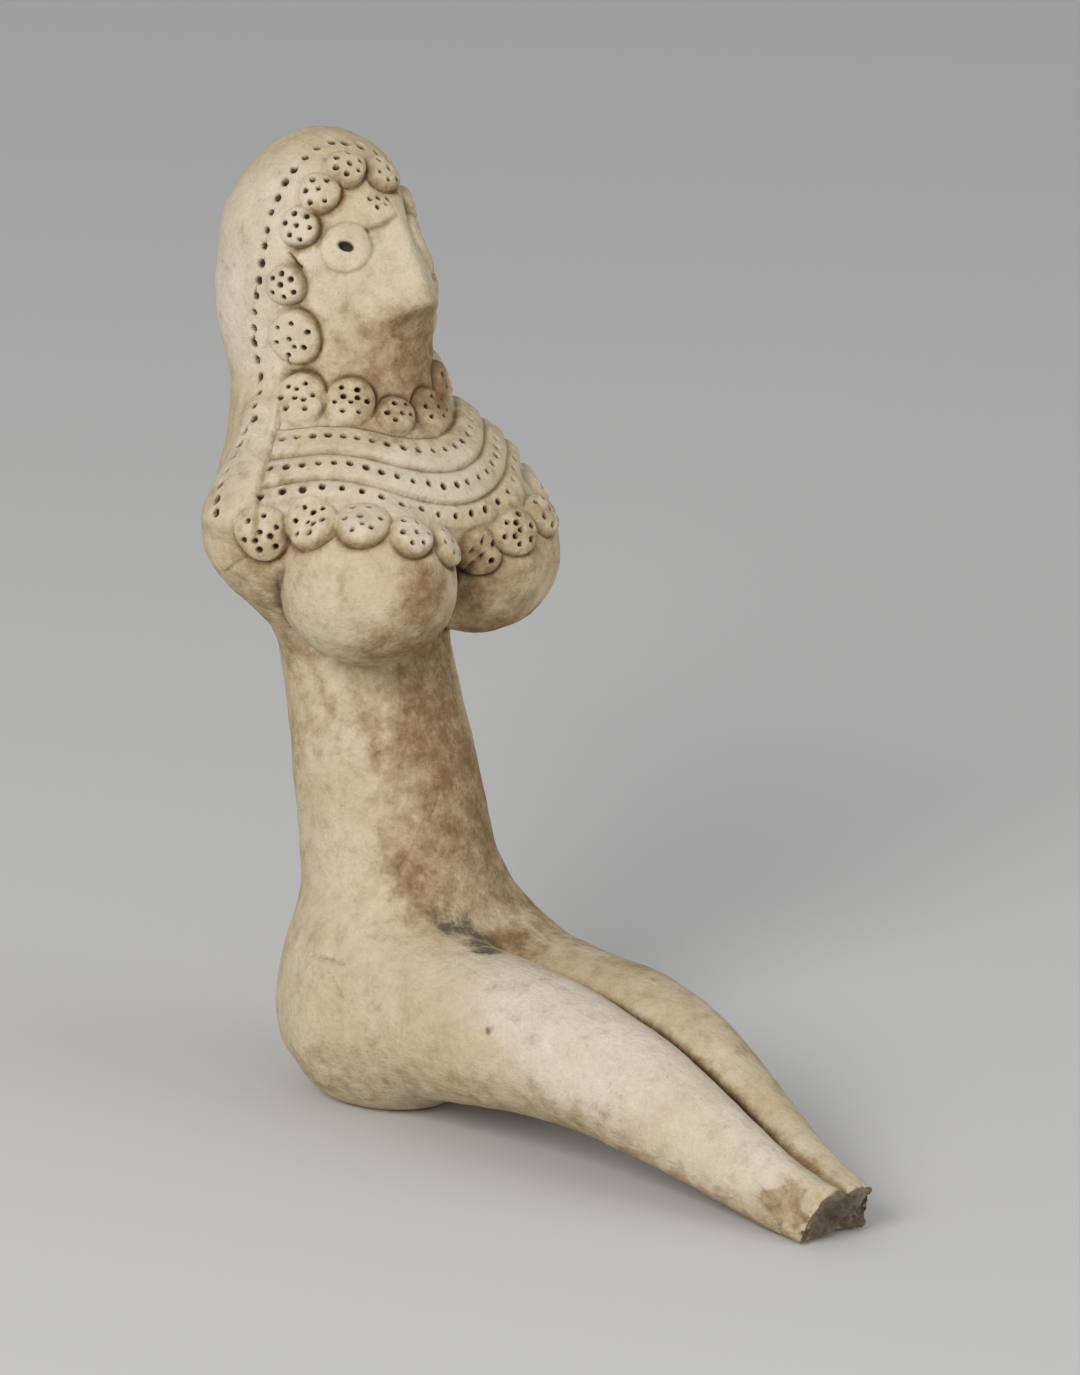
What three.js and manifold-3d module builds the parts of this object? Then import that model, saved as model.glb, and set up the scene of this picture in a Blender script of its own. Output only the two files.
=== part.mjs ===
// Mother goddess figurine of fired clay, seated with its legs stretched out together in front.
// Millimetres, +Z up. The figure faces -Y and its right side is at -X. The origin lies on the
// surface that it sits on, under the middle of its hips.

import * as THREE from 'three';
import { mergeVertices } from 'three/addons/utils/BufferGeometryUtils.js';
import Module from 'manifold-3d';

// Driving dimensions

const figureHeight = 108.5; // seat to the crown of the hood
const legReach = 67.4; // middle of the hips to the broken feet
const breakLean = 20.6; // degrees that the broken ends lean back from upright
const pelletRise = 1.2; // how far a rosette pellet stands proud
const pelletRoot = 1.5; // how deep a pellet is pressed in
const collarPelletRadius = 3.0; // pellets under the chin and on the cheeks
const browPelletRadius = 2.35; // pellets over the brow
const breastPelletRadius = 2.8; // pellets along the tops of the breasts
const eyeRadius = 3.0;
const eyeRise = 0.8;
const pupilRadius = 0.75;
const pupilDepth = 1.0;
const tierRise = 0.68; // lower edge of a necklace tier over the chest
const tierRoot = 1.2; // how deep a tier is bedded
const lockRise = 0.9; // hair lock over the shoulder
const lockRoot = 1.5;

// Fineness of the facets

const ringCount = 74; // rings from the feet to the head
const sideCount = 30; // facets round a ring
const capCount = 4; // rings that close each end
const pelletSides = 10;
const tierSteps = 22;
const lockSteps = 6;

// The form is drawn in parts of the figure's height, 108.5 of them, so a part is a millimetre
// at the real size. Everything down to the line "The figure at its own size" is in these parts.

const drawnHeight = 108.5;
const size = figureHeight / drawnHeight;

// Height, middle x, middle y, half width and half depth of the trunk
const trunkStations = [
  [0, 0, 0.4, 8.5, 7.0],
  [6, 0, 1.0, 14.0, 10.0],
  [14, 0, 1.6, 13.6, 12.2],
  [22, 0, 3.0, 12.0, 11.6],
  [30, 0.1, 5.3, 11.5, 10.8],
  [38, 0.2, 7.7, 11.1, 10.3],
  [46, 0.4, 10.5, 10.6, 9.6],
  [54, 0.8, 13.4, 10.3, 9.2],
  [62, 1.4, 15.6, 11.0, 8.6],
  [70, 2.0, 18.0, 10.0, 8.4],
];

// Distance forward, height of the middle, distance from the middle plane, half width and
// half height of a leg
const legStations = [
  [0, 11.6, 7.2, 10.0, 10.5],
  [10, 12.3, 7.2, 9.6, 9.7],
  [20, 12.9, 7.0, 8.9, 8.7],
  [30, 12.7, 6.4, 8.0, 7.7],
  [40, 10.9, 5.6, 6.8, 6.7],
  [50, 7.6, 4.4, 5.3, 5.5],
  [60, 4.3, 3.3, 4.1, 4.5],
  [70, 1.7, 2.8, 3.6, 4.0],
];

// x, y, height and facing angle of the line inside the body that the rings fan out from,
// from the feet through the hips to the head
const coreStations = [
  [0, -64, 4, 104],
  [0, -45, 9, 104],
  [0, -26, 12, 92],
  [0, -12, 14, 115],
  [0, -2, 20, 148],
  [0.3, 2, 32, 166],
  [1.2, 9.5, 50, 166],
  [1.8, 17, 70, 166],
  [2.2, 22, 92, 166],
];

// Smooth curve through the rows of a table, read at a value of its first column
function reader(rows, column, keys = rows.map((row) => row[0])) {
  const values = rows.map((row) => row[column]);
  const last = rows.length - 1;
  const slopes = values.map((value, i) => {
    if (i === 0) return (values[1] - value) / (keys[1] - keys[0]);
    if (i === last) return (value - values[last - 1]) / (keys[last] - keys[last - 1]);
    const before = keys[i] - keys[i - 1];
    const after = keys[i + 1] - keys[i];
    const rise = (values[i + 1] - value) * before / after;
    const fall = (value - values[i - 1]) * after / before;
    return (rise + fall) / (before + after);
  });
  return (key) => {
    const at = THREE.MathUtils.clamp(key, keys[0], keys[last]);
    let i = 0;
    while (i < last - 1 && at >= keys[i + 1]) i += 1;
    const step = keys[i + 1] - keys[i];
    const t = (at - keys[i]) / step;
    const s = 1 - t;
    return (1 + 2 * t) * s * s * values[i] + t * s * s * step * slopes[i]
      + t * t * (3 - 2 * t) * values[i + 1] - t * t * s * step * slopes[i + 1];
  };
}

// Two forms run together over a soft width, as thumbed clay does, or one cut by the other
function merged(a, b, width) {
  const h = THREE.MathUtils.clamp(0.5 + 0.5 * (b - a) / width, 0, 1);
  return b + (a - b) * h - width * h * (1 - h);
}

function trimmed(a, b, width) {
  return -merged(-a, -b, width);
}

// Distance from an ellipsoid, leant about X, tipped about Y and turned about Z by degrees
function ellipsoid(middle, radii, lean = 0, tip = 0, turn = 0) {
  const centre = new THREE.Vector3(...middle);
  const reach = new THREE.Vector3(...radii);
  const angles = [lean, tip, turn].map(THREE.MathUtils.degToRad);
  const unturn = new THREE.Quaternion().setFromEuler(new THREE.Euler(...angles, 'ZYX')).invert();
  const q = new THREE.Vector3();
  return (p) => {
    q.subVectors(p, centre).applyQuaternion(unturn).divide(reach);
    const share = q.length();
    const slope = q.divide(reach).length();
    return share * (share - 1) / Math.max(slope, 1e-9);
  };
}

// Distance from a rod with round ends that tapers from one radius to another
function taperedRod(from, to, fromRadius, toRadius) {
  const start = new THREE.Vector3(...from);
  const along = new THREE.Vector3(...to).sub(start);
  const q = new THREE.Vector3();
  return (p) => {
    q.subVectors(p, start);
    const t = THREE.MathUtils.clamp(q.dot(along) / along.lengthSq(), 0, 1);
    return q.addScaledVector(along, -t).length() - fromRadius - (toRadius - fromRadius) * t;
  };
}

// Distance from an oval section, by its offsets and half sizes
function oval(across, up, halfWidth, halfHeight) {
  return (Math.hypot(across / halfWidth, up / halfHeight) - 1) * Math.min(halfWidth, halfHeight);
}

const [trunkX, trunkY, trunkWide, trunkDeep] = [1, 2, 3, 4].map((i) => reader(trunkStations, i));
const [legRise, legOut, legWide, legHigh] = [1, 2, 3, 4].map((i) => reader(legStations, i));
const farLegSlimming = 0.0028; // the left leg tapers a little more past the knee
const farThighSink = 2.1; // and its thigh is pressed lower
const footDrift = 0.8; // the feet lean over towards the right side
const feetJoining = 1.8; // and run together into one lump
const feetLift = 0.35; // that hangs a little above the surface, so the seat carries it all

function trunk(p) {
  const side = oval(p.x - trunkX(p.z), p.y - trunkY(p.z), trunkWide(p.z), trunkDeep(p.z));
  return trimmed(trimmed(side, -0.5 - p.z, 3), p.z - 76, 3);
}

function leg(p, hand) {
  const forward = -p.y;
  const past = THREE.MathUtils.clamp(forward - 20, 0, 45);
  const slim = hand > 0 ? 1 - farLegSlimming * past : 1;
  const sink = hand > 0 ? farThighSink * Math.exp(-(((forward - 16) / 14) ** 2)) : 0;
  const drift = footDrift * THREE.MathUtils.smoothstep(forward, 48, 66);
  const across = p.x - hand * slim * legOut(forward) + (hand > 0 ? 1.5 : 1) * drift;
  const wide = slim * legWide(forward) + (hand > 0 ? 0.4 : -1) * drift;
  const up = p.z - legRise(forward) + sink / 2;
  const side = oval(across, up, wide, slim * (legHigh(forward) - sink / 2));
  return trimmed(side, -forward - 2, 4);
}

const hips = [
  ellipsoid([-5.6, 0.2, 11.4], [10.2, 12.1, 11.4]),
  ellipsoid([5.6, 0.2, 11.4], [10.2, 12.1, 11.4]),
];
const back = ellipsoid([0.6, 13.4, 65], [20.3, 13.6, 12.2], 14, 2, -4);
const yoke = ellipsoid([2.6, 11.2, 68], [18.2, 14.0, 9.6], 16, 2);
const arms = [
  taperedRod([-13.8, 14.5, 65], [-8.5, 12.5, 55.5], 6.5, 4.0),
  taperedRod([15.8, 14.5, 65], [10.5, 12.5, 55.5], 6.5, 4.0),
];
const breasts = [
  ellipsoid([-8.4, 3.4, 61.1], [10.1, 10.6, 9.6], 10),
  ellipsoid([9.8, 4.4, 61.6], [10.0, 10.0, 9.6], 10),
];
const neck = taperedRod([1.8, 20, 72], [2, 23, 88], 10.2, 11.2);
const hood = ellipsoid([2.1, 23.3, 91.9], [11.4, 12.7, 16.6], -2);
const jaw = taperedRod([2, 16.5, 78], [2, 16.8, 93], 8.8, 8.2);

// The nose is a beak pinched up from the face: two flanks meet at a ridge over an undercut
const noseX = 2.0;
const ridgeTop = { y: 11.2, z: 101.2 };
const noseTip = { y: 5.0, z: 92.0 };
const ridgeSlope = (ridgeTop.y - noseTip.y) / (ridgeTop.z - noseTip.z);
const noseFlank = 0.92;
const noseUndercut = 0.80;
const noseHalfWidth = 5.4;
const farCheekSlope = 1.08;

function nose(p) {
  const across = Math.sqrt((p.x - noseX) ** 2 + 0.25);
  const ridge = noseTip.y + ridgeSlope * (p.z - noseTip.z);
  const flank = (ridge + noseFlank * across - p.y) / Math.hypot(1, noseFlank, ridgeSlope);
  const under = (noseTip.y + (noseTip.z - p.z) * noseUndercut + 0.35 * across - p.y) / 1.33;
  const top = (p.z - ridgeTop.z - 0.2 * (p.y - ridgeTop.y)) / 1.02;
  const wedge = trimmed(trimmed(flank, under, 0.9), top, 0.7);
  return trimmed(trimmed(wedge, across - noseHalfWidth, 2), p.y - 17, 2);
}

// The face falls away behind the ridge on its left side
function farCheek(p) {
  const brow = 0.9 * Math.max(p.z - 100.5, 0);
  const ridge = noseTip.y + ridgeSlope * (p.z - noseTip.z) - brow;
  return (ridge + 0.6 + farCheekSlope * (p.x - noseX) - p.y) / Math.hypot(1, farCheekSlope);
}

// The whole figure as one soft form, before its carving. Negative inside.
function form(p) {
  const feet = THREE.MathUtils.smoothstep(-p.y, 50, 66);
  const legs = merged(leg(p, -1), leg(p, 1), 0.8 + feetJoining * feet);
  const seat = merged(trunk(p), merged(hips[0](p), hips[1](p), 2.5), 7);
  const lower = merged(seat, legs, 4);
  const shoulders = merged(merged(back(p), yoke(p), 4), neck(p), 9);
  const upper = merged(shoulders, Math.min(arms[0](p), arms[1](p)), 3);
  const torso = merged(merged(lower, upper, 4), Math.min(breasts[0](p), breasts[1](p)), 1.2);
  const skull = trimmed(merged(hood(p), jaw(p), 2.5), farCheek(p), 1.2);
  const head = merged(skull, nose(p), 1.8);
  const whole = merged(torso, head, 2.5);
  return broken(trimmed(whole, feetLift * Math.min(2 * feet, 1) - p.z, 0.6), p);
}

// The feet are gone: a leaning plane, wavy as a break is, ends both legs
function broken(inside, p) {
  const lean = THREE.MathUtils.degToRad(breakLean);
  const wave = 0.5 * Math.sin(1.1 * p.x + 0.6) * Math.cos(0.9 * p.z);
  const past = -(p.y + legReach / size) * Math.cos(lean) - (p.z - 4) * Math.sin(lean);
  return trimmed(inside, past + wave + 0.04 * p.x, 0.8);
}

// The figure at its own size

const shrunk = new THREE.Vector3();
const distance = (p) => form(shrunk.copy(p).divideScalar(size)) * size;
const searchReach = 60 * size;
const searchStep = 1 * size;

// Where a ray from inside first leaves the form
function cast(origin, direction) {
  const p = new THREE.Vector3();
  const at = (r) => distance(p.copy(origin).addScaledVector(direction, r));
  let far = searchStep;
  while (far < searchReach && at(far) < 0) far += searchStep;
  let near = far - searchStep;
  for (let i = 0; i < 14; i += 1) {
    const middle = (near + far) / 2;
    if (at(middle) < 0) near = middle;
    else far = middle;
  }
  return new THREE.Vector3().copy(origin).addScaledVector(direction, (near + far) / 2);
}

// Outward direction of the form at a point on it
function facing(point) {
  const step = 0.2 * size;
  const slope = ['x', 'y', 'z'].map((axis) => {
    const ahead = point.clone();
    const behind = point.clone();
    ahead[axis] += step;
    behind[axis] -= step;
    return distance(ahead) - distance(behind);
  });
  return new THREE.Vector3(...slope).normalize();
}

// Rays fan out from the core line, ring by ring, with a turned cap at either end
function body() {
  const steps = coreStations.map((row, i) => {
    if (i === 0) return 0;
    const before = coreStations[i - 1];
    const path = Math.hypot(row[1] - before[1], row[2] - before[2]);
    return path + 0.25 * Math.abs(row[3] - before[3]);
  });
  const travelled = steps.map((_, i) => steps.slice(0, i + 1).reduce((sum, step) => sum + step, 0));
  const columns = [0, 1, 2, 3].map((i) => reader(coreStations, i, travelled));
  const total = travelled[travelled.length - 1];

  const rays = [];
  for (let i = -capCount; i < ringCount + capCount; i += 1) {
    const along = THREE.MathUtils.clamp(i / (ringCount - 1), 0, 1);
    const past = Math.max(-i, i - (ringCount - 1), 0);
    const tilt = Math.sign(i) * past / capCount * Math.PI / 2;
    const [x, y, z, degrees] = columns.map((read) => read(along * total));
    const angle = THREE.MathUtils.degToRad(degrees);
    rays.push({
      origin: new THREE.Vector3(x, y, z).multiplyScalar(size),
      rise: new THREE.Vector3(0, Math.cos(angle), Math.sin(angle)),
      axis: new THREE.Vector3(0, Math.sin(angle), -Math.cos(angle)),
      tilt,
    });
  }
  const positions = [];
  for (const { origin, rise, axis, tilt } of rays) {
    for (let j = 0; j < sideCount; j += 1) {
      const turn = -2 * Math.PI * j / sideCount;
      const direction = new THREE.Vector3(Math.cos(turn), 0, 0)
        .addScaledVector(rise, Math.sin(turn))
        .multiplyScalar(Math.cos(tilt))
        .addScaledVector(axis, Math.sin(tilt));
      positions.push(cast(origin, direction.normalize()));
    }
  }
  return gridGeometry(positions, rays.length, sideCount, true);
}

// A grid of points as triangles. A tube's sides run round and its end rings are single points.
function gridGeometry(points, rows, columns, round) {
  const index = [];
  const last = round ? columns : columns - 1;
  for (let i = 0; i < rows - 1; i += 1) {
    for (let j = 0; j < last; j += 1) {
      const next = (j + 1) % columns;
      const a = i * columns + j;
      const b = i * columns + next;
      const c = (i + 1) * columns + next;
      const d = (i + 1) * columns + j;
      index.push(a, b, c, a, c, d);
    }
  }
  const geometry = new THREE.BufferGeometry();
  geometry.setAttribute('position', new THREE.Float32BufferAttribute(points.flatMap((p) => p.toArray()), 3));
  geometry.setIndex(index);
  return geometry;
}

// A sheet of clay laid on the form: place(u, v) gives a ray, rise(u, v) how proud it stands
function laidStrip(rows, columns, place, rise, root) {
  const outer = [];
  const inner = [];
  for (let i = 0; i < rows; i += 1) {
    for (let j = 0; j < columns; j += 1) {
      const u = i / (rows - 1);
      const v = j / (columns - 1);
      const { origin, direction } = place(u, v);
      const hit = cast(origin, direction);
      const out = facing(hit);
      outer.push(hit.clone().addScaledVector(out, rise(u, v)));
      inner.push(hit.clone().addScaledVector(out, -root));
    }
  }
  const count = rows * columns;
  const rim = [];
  for (let j = 0; j < columns - 1; j += 1) rim.push(j);
  for (let i = 0; i < rows - 1; i += 1) rim.push(i * columns + columns - 1);
  for (let j = columns - 1; j > 0; j -= 1) rim.push((rows - 1) * columns + j);
  for (let i = rows - 1; i > 0; i -= 1) rim.push(i * columns);

  const geometry = gridGeometry([...outer, ...inner], rows, columns, false);
  const top = Array.from(geometry.getIndex().array);
  const under = [];
  for (let i = 0; i < top.length; i += 3) {
    under.push(top[i] + count, top[i + 2] + count, top[i + 1] + count);
  }
  const sides = rim.flatMap((a, i) => {
    const b = rim[(i + 1) % rim.length];
    return [a, a + count, b, b, a + count, b + count];
  });
  geometry.setIndex([...top, ...under, ...sides]);
  return geometry;
}

// A ray across the chest or the neck, level, at a heading in degrees from straight ahead
// (towards the left side is positive) and a height in drawn parts
const chestAxis = [2, 19];

function levelRay(heading, height) {
  const angle = THREE.MathUtils.degToRad(heading);
  return {
    origin: new THREE.Vector3(...chestAxis, height).multiplyScalar(size),
    direction: new THREE.Vector3(Math.sin(angle), -Math.cos(angle), 0),
  };
}

// A ray from the middle of the head, at a heading and a height angle in degrees
const headMiddle = [2.1, 23.3, 91.9];

function headRay(heading, elevation) {
  const angle = THREE.MathUtils.degToRad(heading);
  const up = THREE.MathUtils.degToRad(elevation);
  const level = Math.cos(up);
  return {
    origin: new THREE.Vector3(...headMiddle).multiplyScalar(size),
    direction: new THREE.Vector3(level * Math.sin(angle), -level * Math.cos(angle), Math.sin(up)),
  };
}

// Three necklace tiers. The edges sag over the breastbone and climb over the collarbones:
// height = lowest + climb times the square of sin(1.9 heading)
const tierEdges = [
  { lowest: 76.2, climb: 1.6 },
  { lowest: 73.0, climb: 2.3 },
  { lowest: 69.7, climb: 3.3 },
  { lowest: 66.6, climb: 4.2 },
];
const tierSpan = 74;

function edgeHeight({ lowest, climb }, heading) {
  return lowest + climb * Math.sin(THREE.MathUtils.degToRad(1.9 * heading)) ** 2;
}

function tier(upper, lower) {
  const place = (u, v) => {
    const heading = THREE.MathUtils.lerp(-tierSpan, tierSpan, u);
    const top = edgeHeight(upper, heading);
    const bottom = edgeHeight(lower, heading);
    return levelRay(heading, THREE.MathUtils.lerp(top, bottom, 0.06 + 0.94 * v));
  };
  const rise = (u, v) => tierRise * (0.35 + 0.65 * Math.sin(v * 0.62 * Math.PI));
  return laidStrip(tierSteps, 4, place, rise, tierRoot);
}

// A flat lock of hair falls from behind each cheek over the shoulder
function hairLock(hand) {
  const backward = (v) => (hand > 0 ? 1 - v : v);
  const place = (u, v) => {
    const height = THREE.MathUtils.lerp(79, 66.5, u);
    const front = THREE.MathUtils.lerp(77, 68, u);
    const heading = front + THREE.MathUtils.lerp(0, 27, backward(v));
    return levelRay(hand * heading, height);
  };
  const rise = (u, v) => lockRise * (0.25 + 0.75 * Math.sin((1 - backward(v)) * 0.7 * Math.PI));
  return laidStrip(lockSteps, 4, place, rise, lockRoot);
}

// A round of clay pressed on: a low dome over a buried root
function pellet(point, radius, rise, root) {
  const profile = [
    new THREE.Vector2(0, -root),
    new THREE.Vector2(radius * 0.85, -root),
    new THREE.Vector2(radius, rise * 0.25),
    new THREE.Vector2(radius * 0.66, rise * 0.85),
    new THREE.Vector2(0, rise),
  ];
  const geometry = new THREE.LatheGeometry(profile, pelletSides);
  const up = new THREE.Vector3(0, 1, 0);
  geometry.applyQuaternion(new THREE.Quaternion().setFromUnitVectors(up, facing(point)));
  return geometry.translate(point.x, point.y, point.z);
}

// Rosettes round the face, from the crown down the right cheek, under the chin and up the left
// cheek: heading, height angle and radius
const faceRing = [
  [-26, 62.3, browPelletRadius],
  [-49.2, 51, browPelletRadius],
  [-60.2, 34.4, browPelletRadius],
  [-64.5, 2.9, browPelletRadius],
  [-58.3, -23.5, collarPelletRadius],
  [-52.9, -41.1, collarPelletRadius],
  [-30.2, -38.2, collarPelletRadius],
  [-11.6, -38.6, browPelletRadius],
  [6.5, -38.8, browPelletRadius],
  [25, -37.2, browPelletRadius],
  [44, -40, collarPelletRadius],
  [52, -24, collarPelletRadius],
  [50, -7, browPelletRadius],
  [44, 9, browPelletRadius],
  [42, 26, browPelletRadius],
  [33, 42, browPelletRadius],
  [8, 57, browPelletRadius],
];

// Rosettes along the tops of the breasts: heading on the chest and height in drawn parts
const breastRow = [
  [-66.2, 66.9],
  [-52.4, 68.4],
  [-38.3, 69.2],
  [-25.5, 67.9],
  [-13.7, 66.0],
  [2.7, 63.9],
  [13.5, 65.9],
  [26, 66.9],
  [43, 67.9],
  [57, 67.0],
];

const eyePlaces = [[-32.5, 24.3], [21.0, 24.3]]; // heading and height angle

function castRay({ origin, direction }) {
  return cast(origin, direction);
}

// Booleans

const wasm = await Module();
wasm.setup();

function toSolid(geometry) {
  const plain = geometry.clone();
  plain.deleteAttribute('normal');
  plain.deleteAttribute('uv');
  const whole = mergeVertices(plain, 1e-4);
  const faces = Array.from(whole.getIndex().array);
  const kept = [];
  for (let i = 0; i < faces.length; i += 3) {
    const [a, b, c] = faces.slice(i, i + 3);
    if (a !== b && b !== c && c !== a) kept.push(a, b, c);
  }
  return new wasm.Manifold(new wasm.Mesh({
    numProp: 3,
    vertProperties: new Float32Array(whole.getAttribute('position').array),
    triVerts: new Uint32Array(kept),
  }));
}

function toGeometry(solid) {
  const { vertProperties, triVerts } = solid.getMesh();
  const geometry = new THREE.BufferGeometry();
  geometry.setAttribute('position', new THREE.BufferAttribute(new Float32Array(vertProperties), 3));
  geometry.setIndex(new THREE.BufferAttribute(new Uint32Array(triVerts), 1));
  return geometry;
}

// All the pieces of clay, joined as firing joins them

const pieces = [];
for (let i = 0; i < tierEdges.length - 1; i += 1) pieces.push(tier(tierEdges[i], tierEdges[i + 1]));
for (const hand of [-1, 1]) {
  pieces.push(hairLock(hand));
}
for (const [heading, elevation, radius] of faceRing) {
  const point = castRay(headRay(heading, elevation));
  pieces.push(pellet(point, radius, pelletRise, pelletRoot));
}
for (const [heading, elevation] of eyePlaces) {
  const eye = castRay(headRay(heading, elevation));
  pieces.push(pellet(eye, eyeRadius, eyeRise, pelletRoot));
}
for (const [heading, height] of breastRow) {
  const point = castRay(levelRay(heading, height));
  pieces.push(pellet(point, breastPelletRadius, pelletRise, pelletRoot));
}

let figure = toSolid(body());
for (const piece of pieces) figure = figure.add(toSolid(piece));

// The pupils are holes poked in the eye pellets
for (const [heading, elevation] of eyePlaces) {
  const eye = castRay(headRay(heading, elevation));
  const out = facing(eye);
  const top = eye.clone().addScaledVector(out, eyeRise - pupilDepth);
  figure = figure.subtract(toSolid(pellet(top, pupilRadius, 2 * pupilDepth, 0)));
}

const clay = new THREE.MeshStandardMaterial({ color: 0xb9a582, roughness: 0.88, metalness: 0 });
clay.flatShading = true;
const figurine = new THREE.Mesh(toGeometry(figure), clay);
figurine.name = 'mother_goddess_figurine';

const group = new THREE.Group();
group.add(figurine);

export default group;
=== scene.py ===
"""The carved and weathered surface of a seated clay figurine, its clay, and the photograph's view."""
import math

import bpy
import numpy as np
from bpy.props import FloatProperty, FloatVectorProperty, PointerProperty
from mathutils import Matrix, Vector


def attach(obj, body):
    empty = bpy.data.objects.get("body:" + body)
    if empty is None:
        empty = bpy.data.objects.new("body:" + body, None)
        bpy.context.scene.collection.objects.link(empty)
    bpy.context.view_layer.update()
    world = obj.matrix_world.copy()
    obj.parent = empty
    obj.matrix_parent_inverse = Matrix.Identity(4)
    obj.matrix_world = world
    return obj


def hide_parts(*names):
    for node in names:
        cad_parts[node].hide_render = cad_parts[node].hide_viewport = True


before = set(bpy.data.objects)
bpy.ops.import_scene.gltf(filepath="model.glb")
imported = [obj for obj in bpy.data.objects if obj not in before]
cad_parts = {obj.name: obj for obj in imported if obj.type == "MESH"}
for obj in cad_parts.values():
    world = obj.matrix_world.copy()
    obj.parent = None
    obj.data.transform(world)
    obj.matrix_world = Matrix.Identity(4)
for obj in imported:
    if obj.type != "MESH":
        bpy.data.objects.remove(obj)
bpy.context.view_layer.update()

bl_info = {
    "name": "Mother goddess figurine",
    "version": (1, 0, 0),
    "blender": (4, 5, 0),
    "location": "3D View > Sidebar > Figurine",
    "description": "Models the fired clay surface of a seated figurine and lights it",
    "category": "Object",
}

NODE = "mother_goddess_figurine"
MM = 0.001  # metres


# The figure's soft form, in millimetres. It is negative inside, and +Z is up, -Y ahead.

# Height, middle x, middle y, half width and half depth of the trunk
TRUNK = np.array([
    (0, 0, 0.4, 8.5, 7.0),
    (6, 0, 1.0, 14.0, 10.0),
    (14, 0, 1.6, 13.6, 12.2),
    (22, 0, 3.0, 12.0, 11.6),
    (30, 0.1, 5.3, 11.5, 10.8),
    (38, 0.2, 7.7, 11.1, 10.3),
    (46, 0.4, 10.5, 10.6, 9.6),
    (54, 0.8, 13.4, 10.3, 9.2),
    (62, 1.4, 15.6, 11.0, 8.6),
    (70, 2.0, 18.0, 10.0, 8.4),
])

# Distance ahead, height, distance from the middle plane, half width and half height of a leg
LEG = np.array([
    (0, 11.6, 7.2, 10.0, 10.5),
    (10, 12.3, 7.2, 9.6, 9.7),
    (20, 12.9, 7.0, 8.9, 8.7),
    (30, 12.7, 6.4, 8.0, 7.7),
    (40, 10.9, 5.6, 6.8, 6.7),
    (50, 7.6, 4.4, 5.3, 5.5),
    (60, 4.3, 3.3, 4.1, 4.5),
    (70, 1.7, 2.8, 3.6, 4.0),
])

# x, y, height and facing angle of the line inside that the rings fan out from
CORE = np.array([
    (0, -64, 4, 104),
    (0, -45, 9, 104),
    (0, -26, 12, 92),
    (0, -12, 14, 115),
    (0, -2, 20, 148),
    (0.3, 2, 32, 166),
    (1.2, 9.5, 50, 166),
    (1.8, 17, 70, 166),
    (2.2, 22, 92, 166),
])

TRUNK_ENDS = (-0.5, 76)  # heights
TRUNK_END_ROUND = 3
LEG_START = -2  # distance ahead
LEG_START_ROUND = 4

# The left leg gets slimmer by a share for each millimetre, and its thigh is lower
FAR_LEG_SLIMMING = 0.0028
FAR_SLIM_START = 20
FAR_SLIM_LENGTH = 45
FAR_THIGH_SINK = 2.1
FAR_THIGH_MIDDLE = 16
FAR_THIGH_LENGTH = 14

# Over these distances ahead the legs drift to the right, run together and lift off the surface.
# Each leg, right and left, shifts and widens by its own number of drifts.
FOOT_DRIFT = 0.8
DRIFT_SPAN = (48, 66)
FOOT_SHIFTS = {-1: (1, -1), 1: (1.5, 0.4)}
FEET_JOINING = 1.8
FEET_LIFT = 0.35
FEET_SPAN = (50, 66)

# The break: how far ahead it is at its height, its lean, its skew and the height of its wave
LEG_REACH = 67.4
BREAK_HEIGHT = 4
BREAK_LEAN = math.radians(20.6)
BREAK_SKEW = 0.04
BREAK_WAVE = 0.5

# Middle and radii of the ellipsoids, then their lean, tip and turn in degrees
HIPS = [((5.6 * hand, 0.2, 11.4), (10.2, 12.1, 11.4)) for hand in (-1, 1)]
BACK = ((0.6, 13.4, 65), (20.3, 13.6, 12.2), 14, 2, -4)
YOKE = ((2.6, 11.2, 68), (18.2, 14.0, 9.6), 16, 2)
RIGHT_BREAST = ((-8.4, 3.4, 61.1), (10.1, 10.6, 9.6), 10)
LEFT_BREAST = ((9.8, 4.4, 61.6), (10.0, 10.0, 9.6), 10)
HOOD = ((2.1, 23.3, 91.9), (11.4, 12.7, 16.6), -2)

# Start, end and both radii of the tapered rods
NECK = ((1.8, 20, 72), (2, 23, 88), 10.2, 11.2)
ARMS = [((1 + 14.8 * hand, 14.5, 65), (1 + 9.5 * hand, 12.5, 55.5), 6.5, 4.0) for hand in (-1, 1)]
JAW = ((2, 16.5, 78), (2, 16.8, 93), 8.8, 8.2)

# Widths that the clay was thumbed over, where one form joins or ends another
JOIN = {
    "legs": 0.8, "hips": 2.5, "waist": 7, "lap": 4, "shoulders": 4, "neck": 9, "arms": 3, "chest": 4,
    "breasts": 1.2, "jaw": 2.5, "cheek": 1.2, "nose": 1.8, "head": 2.5, "seat": 0.6, "break": 0.8,
}


def read(table, column, key, keys=None):
    """Smooth curve through a table's rows: Hermite arcs whose slopes are the local gradients."""
    k = table[:, 0] if keys is None else keys
    v = table[:, column]
    m = np.gradient(v, k)
    x = np.clip(key, k[0], k[-1])
    i = np.clip(np.searchsorted(k, x, side="right") - 1, 0, len(k) - 2)
    step = k[i + 1] - k[i]
    t = (x - k[i]) / step
    s = 1 - t
    start = (1 + 2 * t) * s * s * v[i] + t * s * s * step * m[i]
    return start + t * t * (3 - 2 * t) * v[i + 1] - t * t * s * step * m[i + 1]


def smooth(edge0, edge1, x):
    """Smooth step from 0 at one edge to 1 at the other."""
    t = np.clip((x - edge0) / (edge1 - edge0), 0, 1)
    return t * t * (3 - 2 * t)


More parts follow.
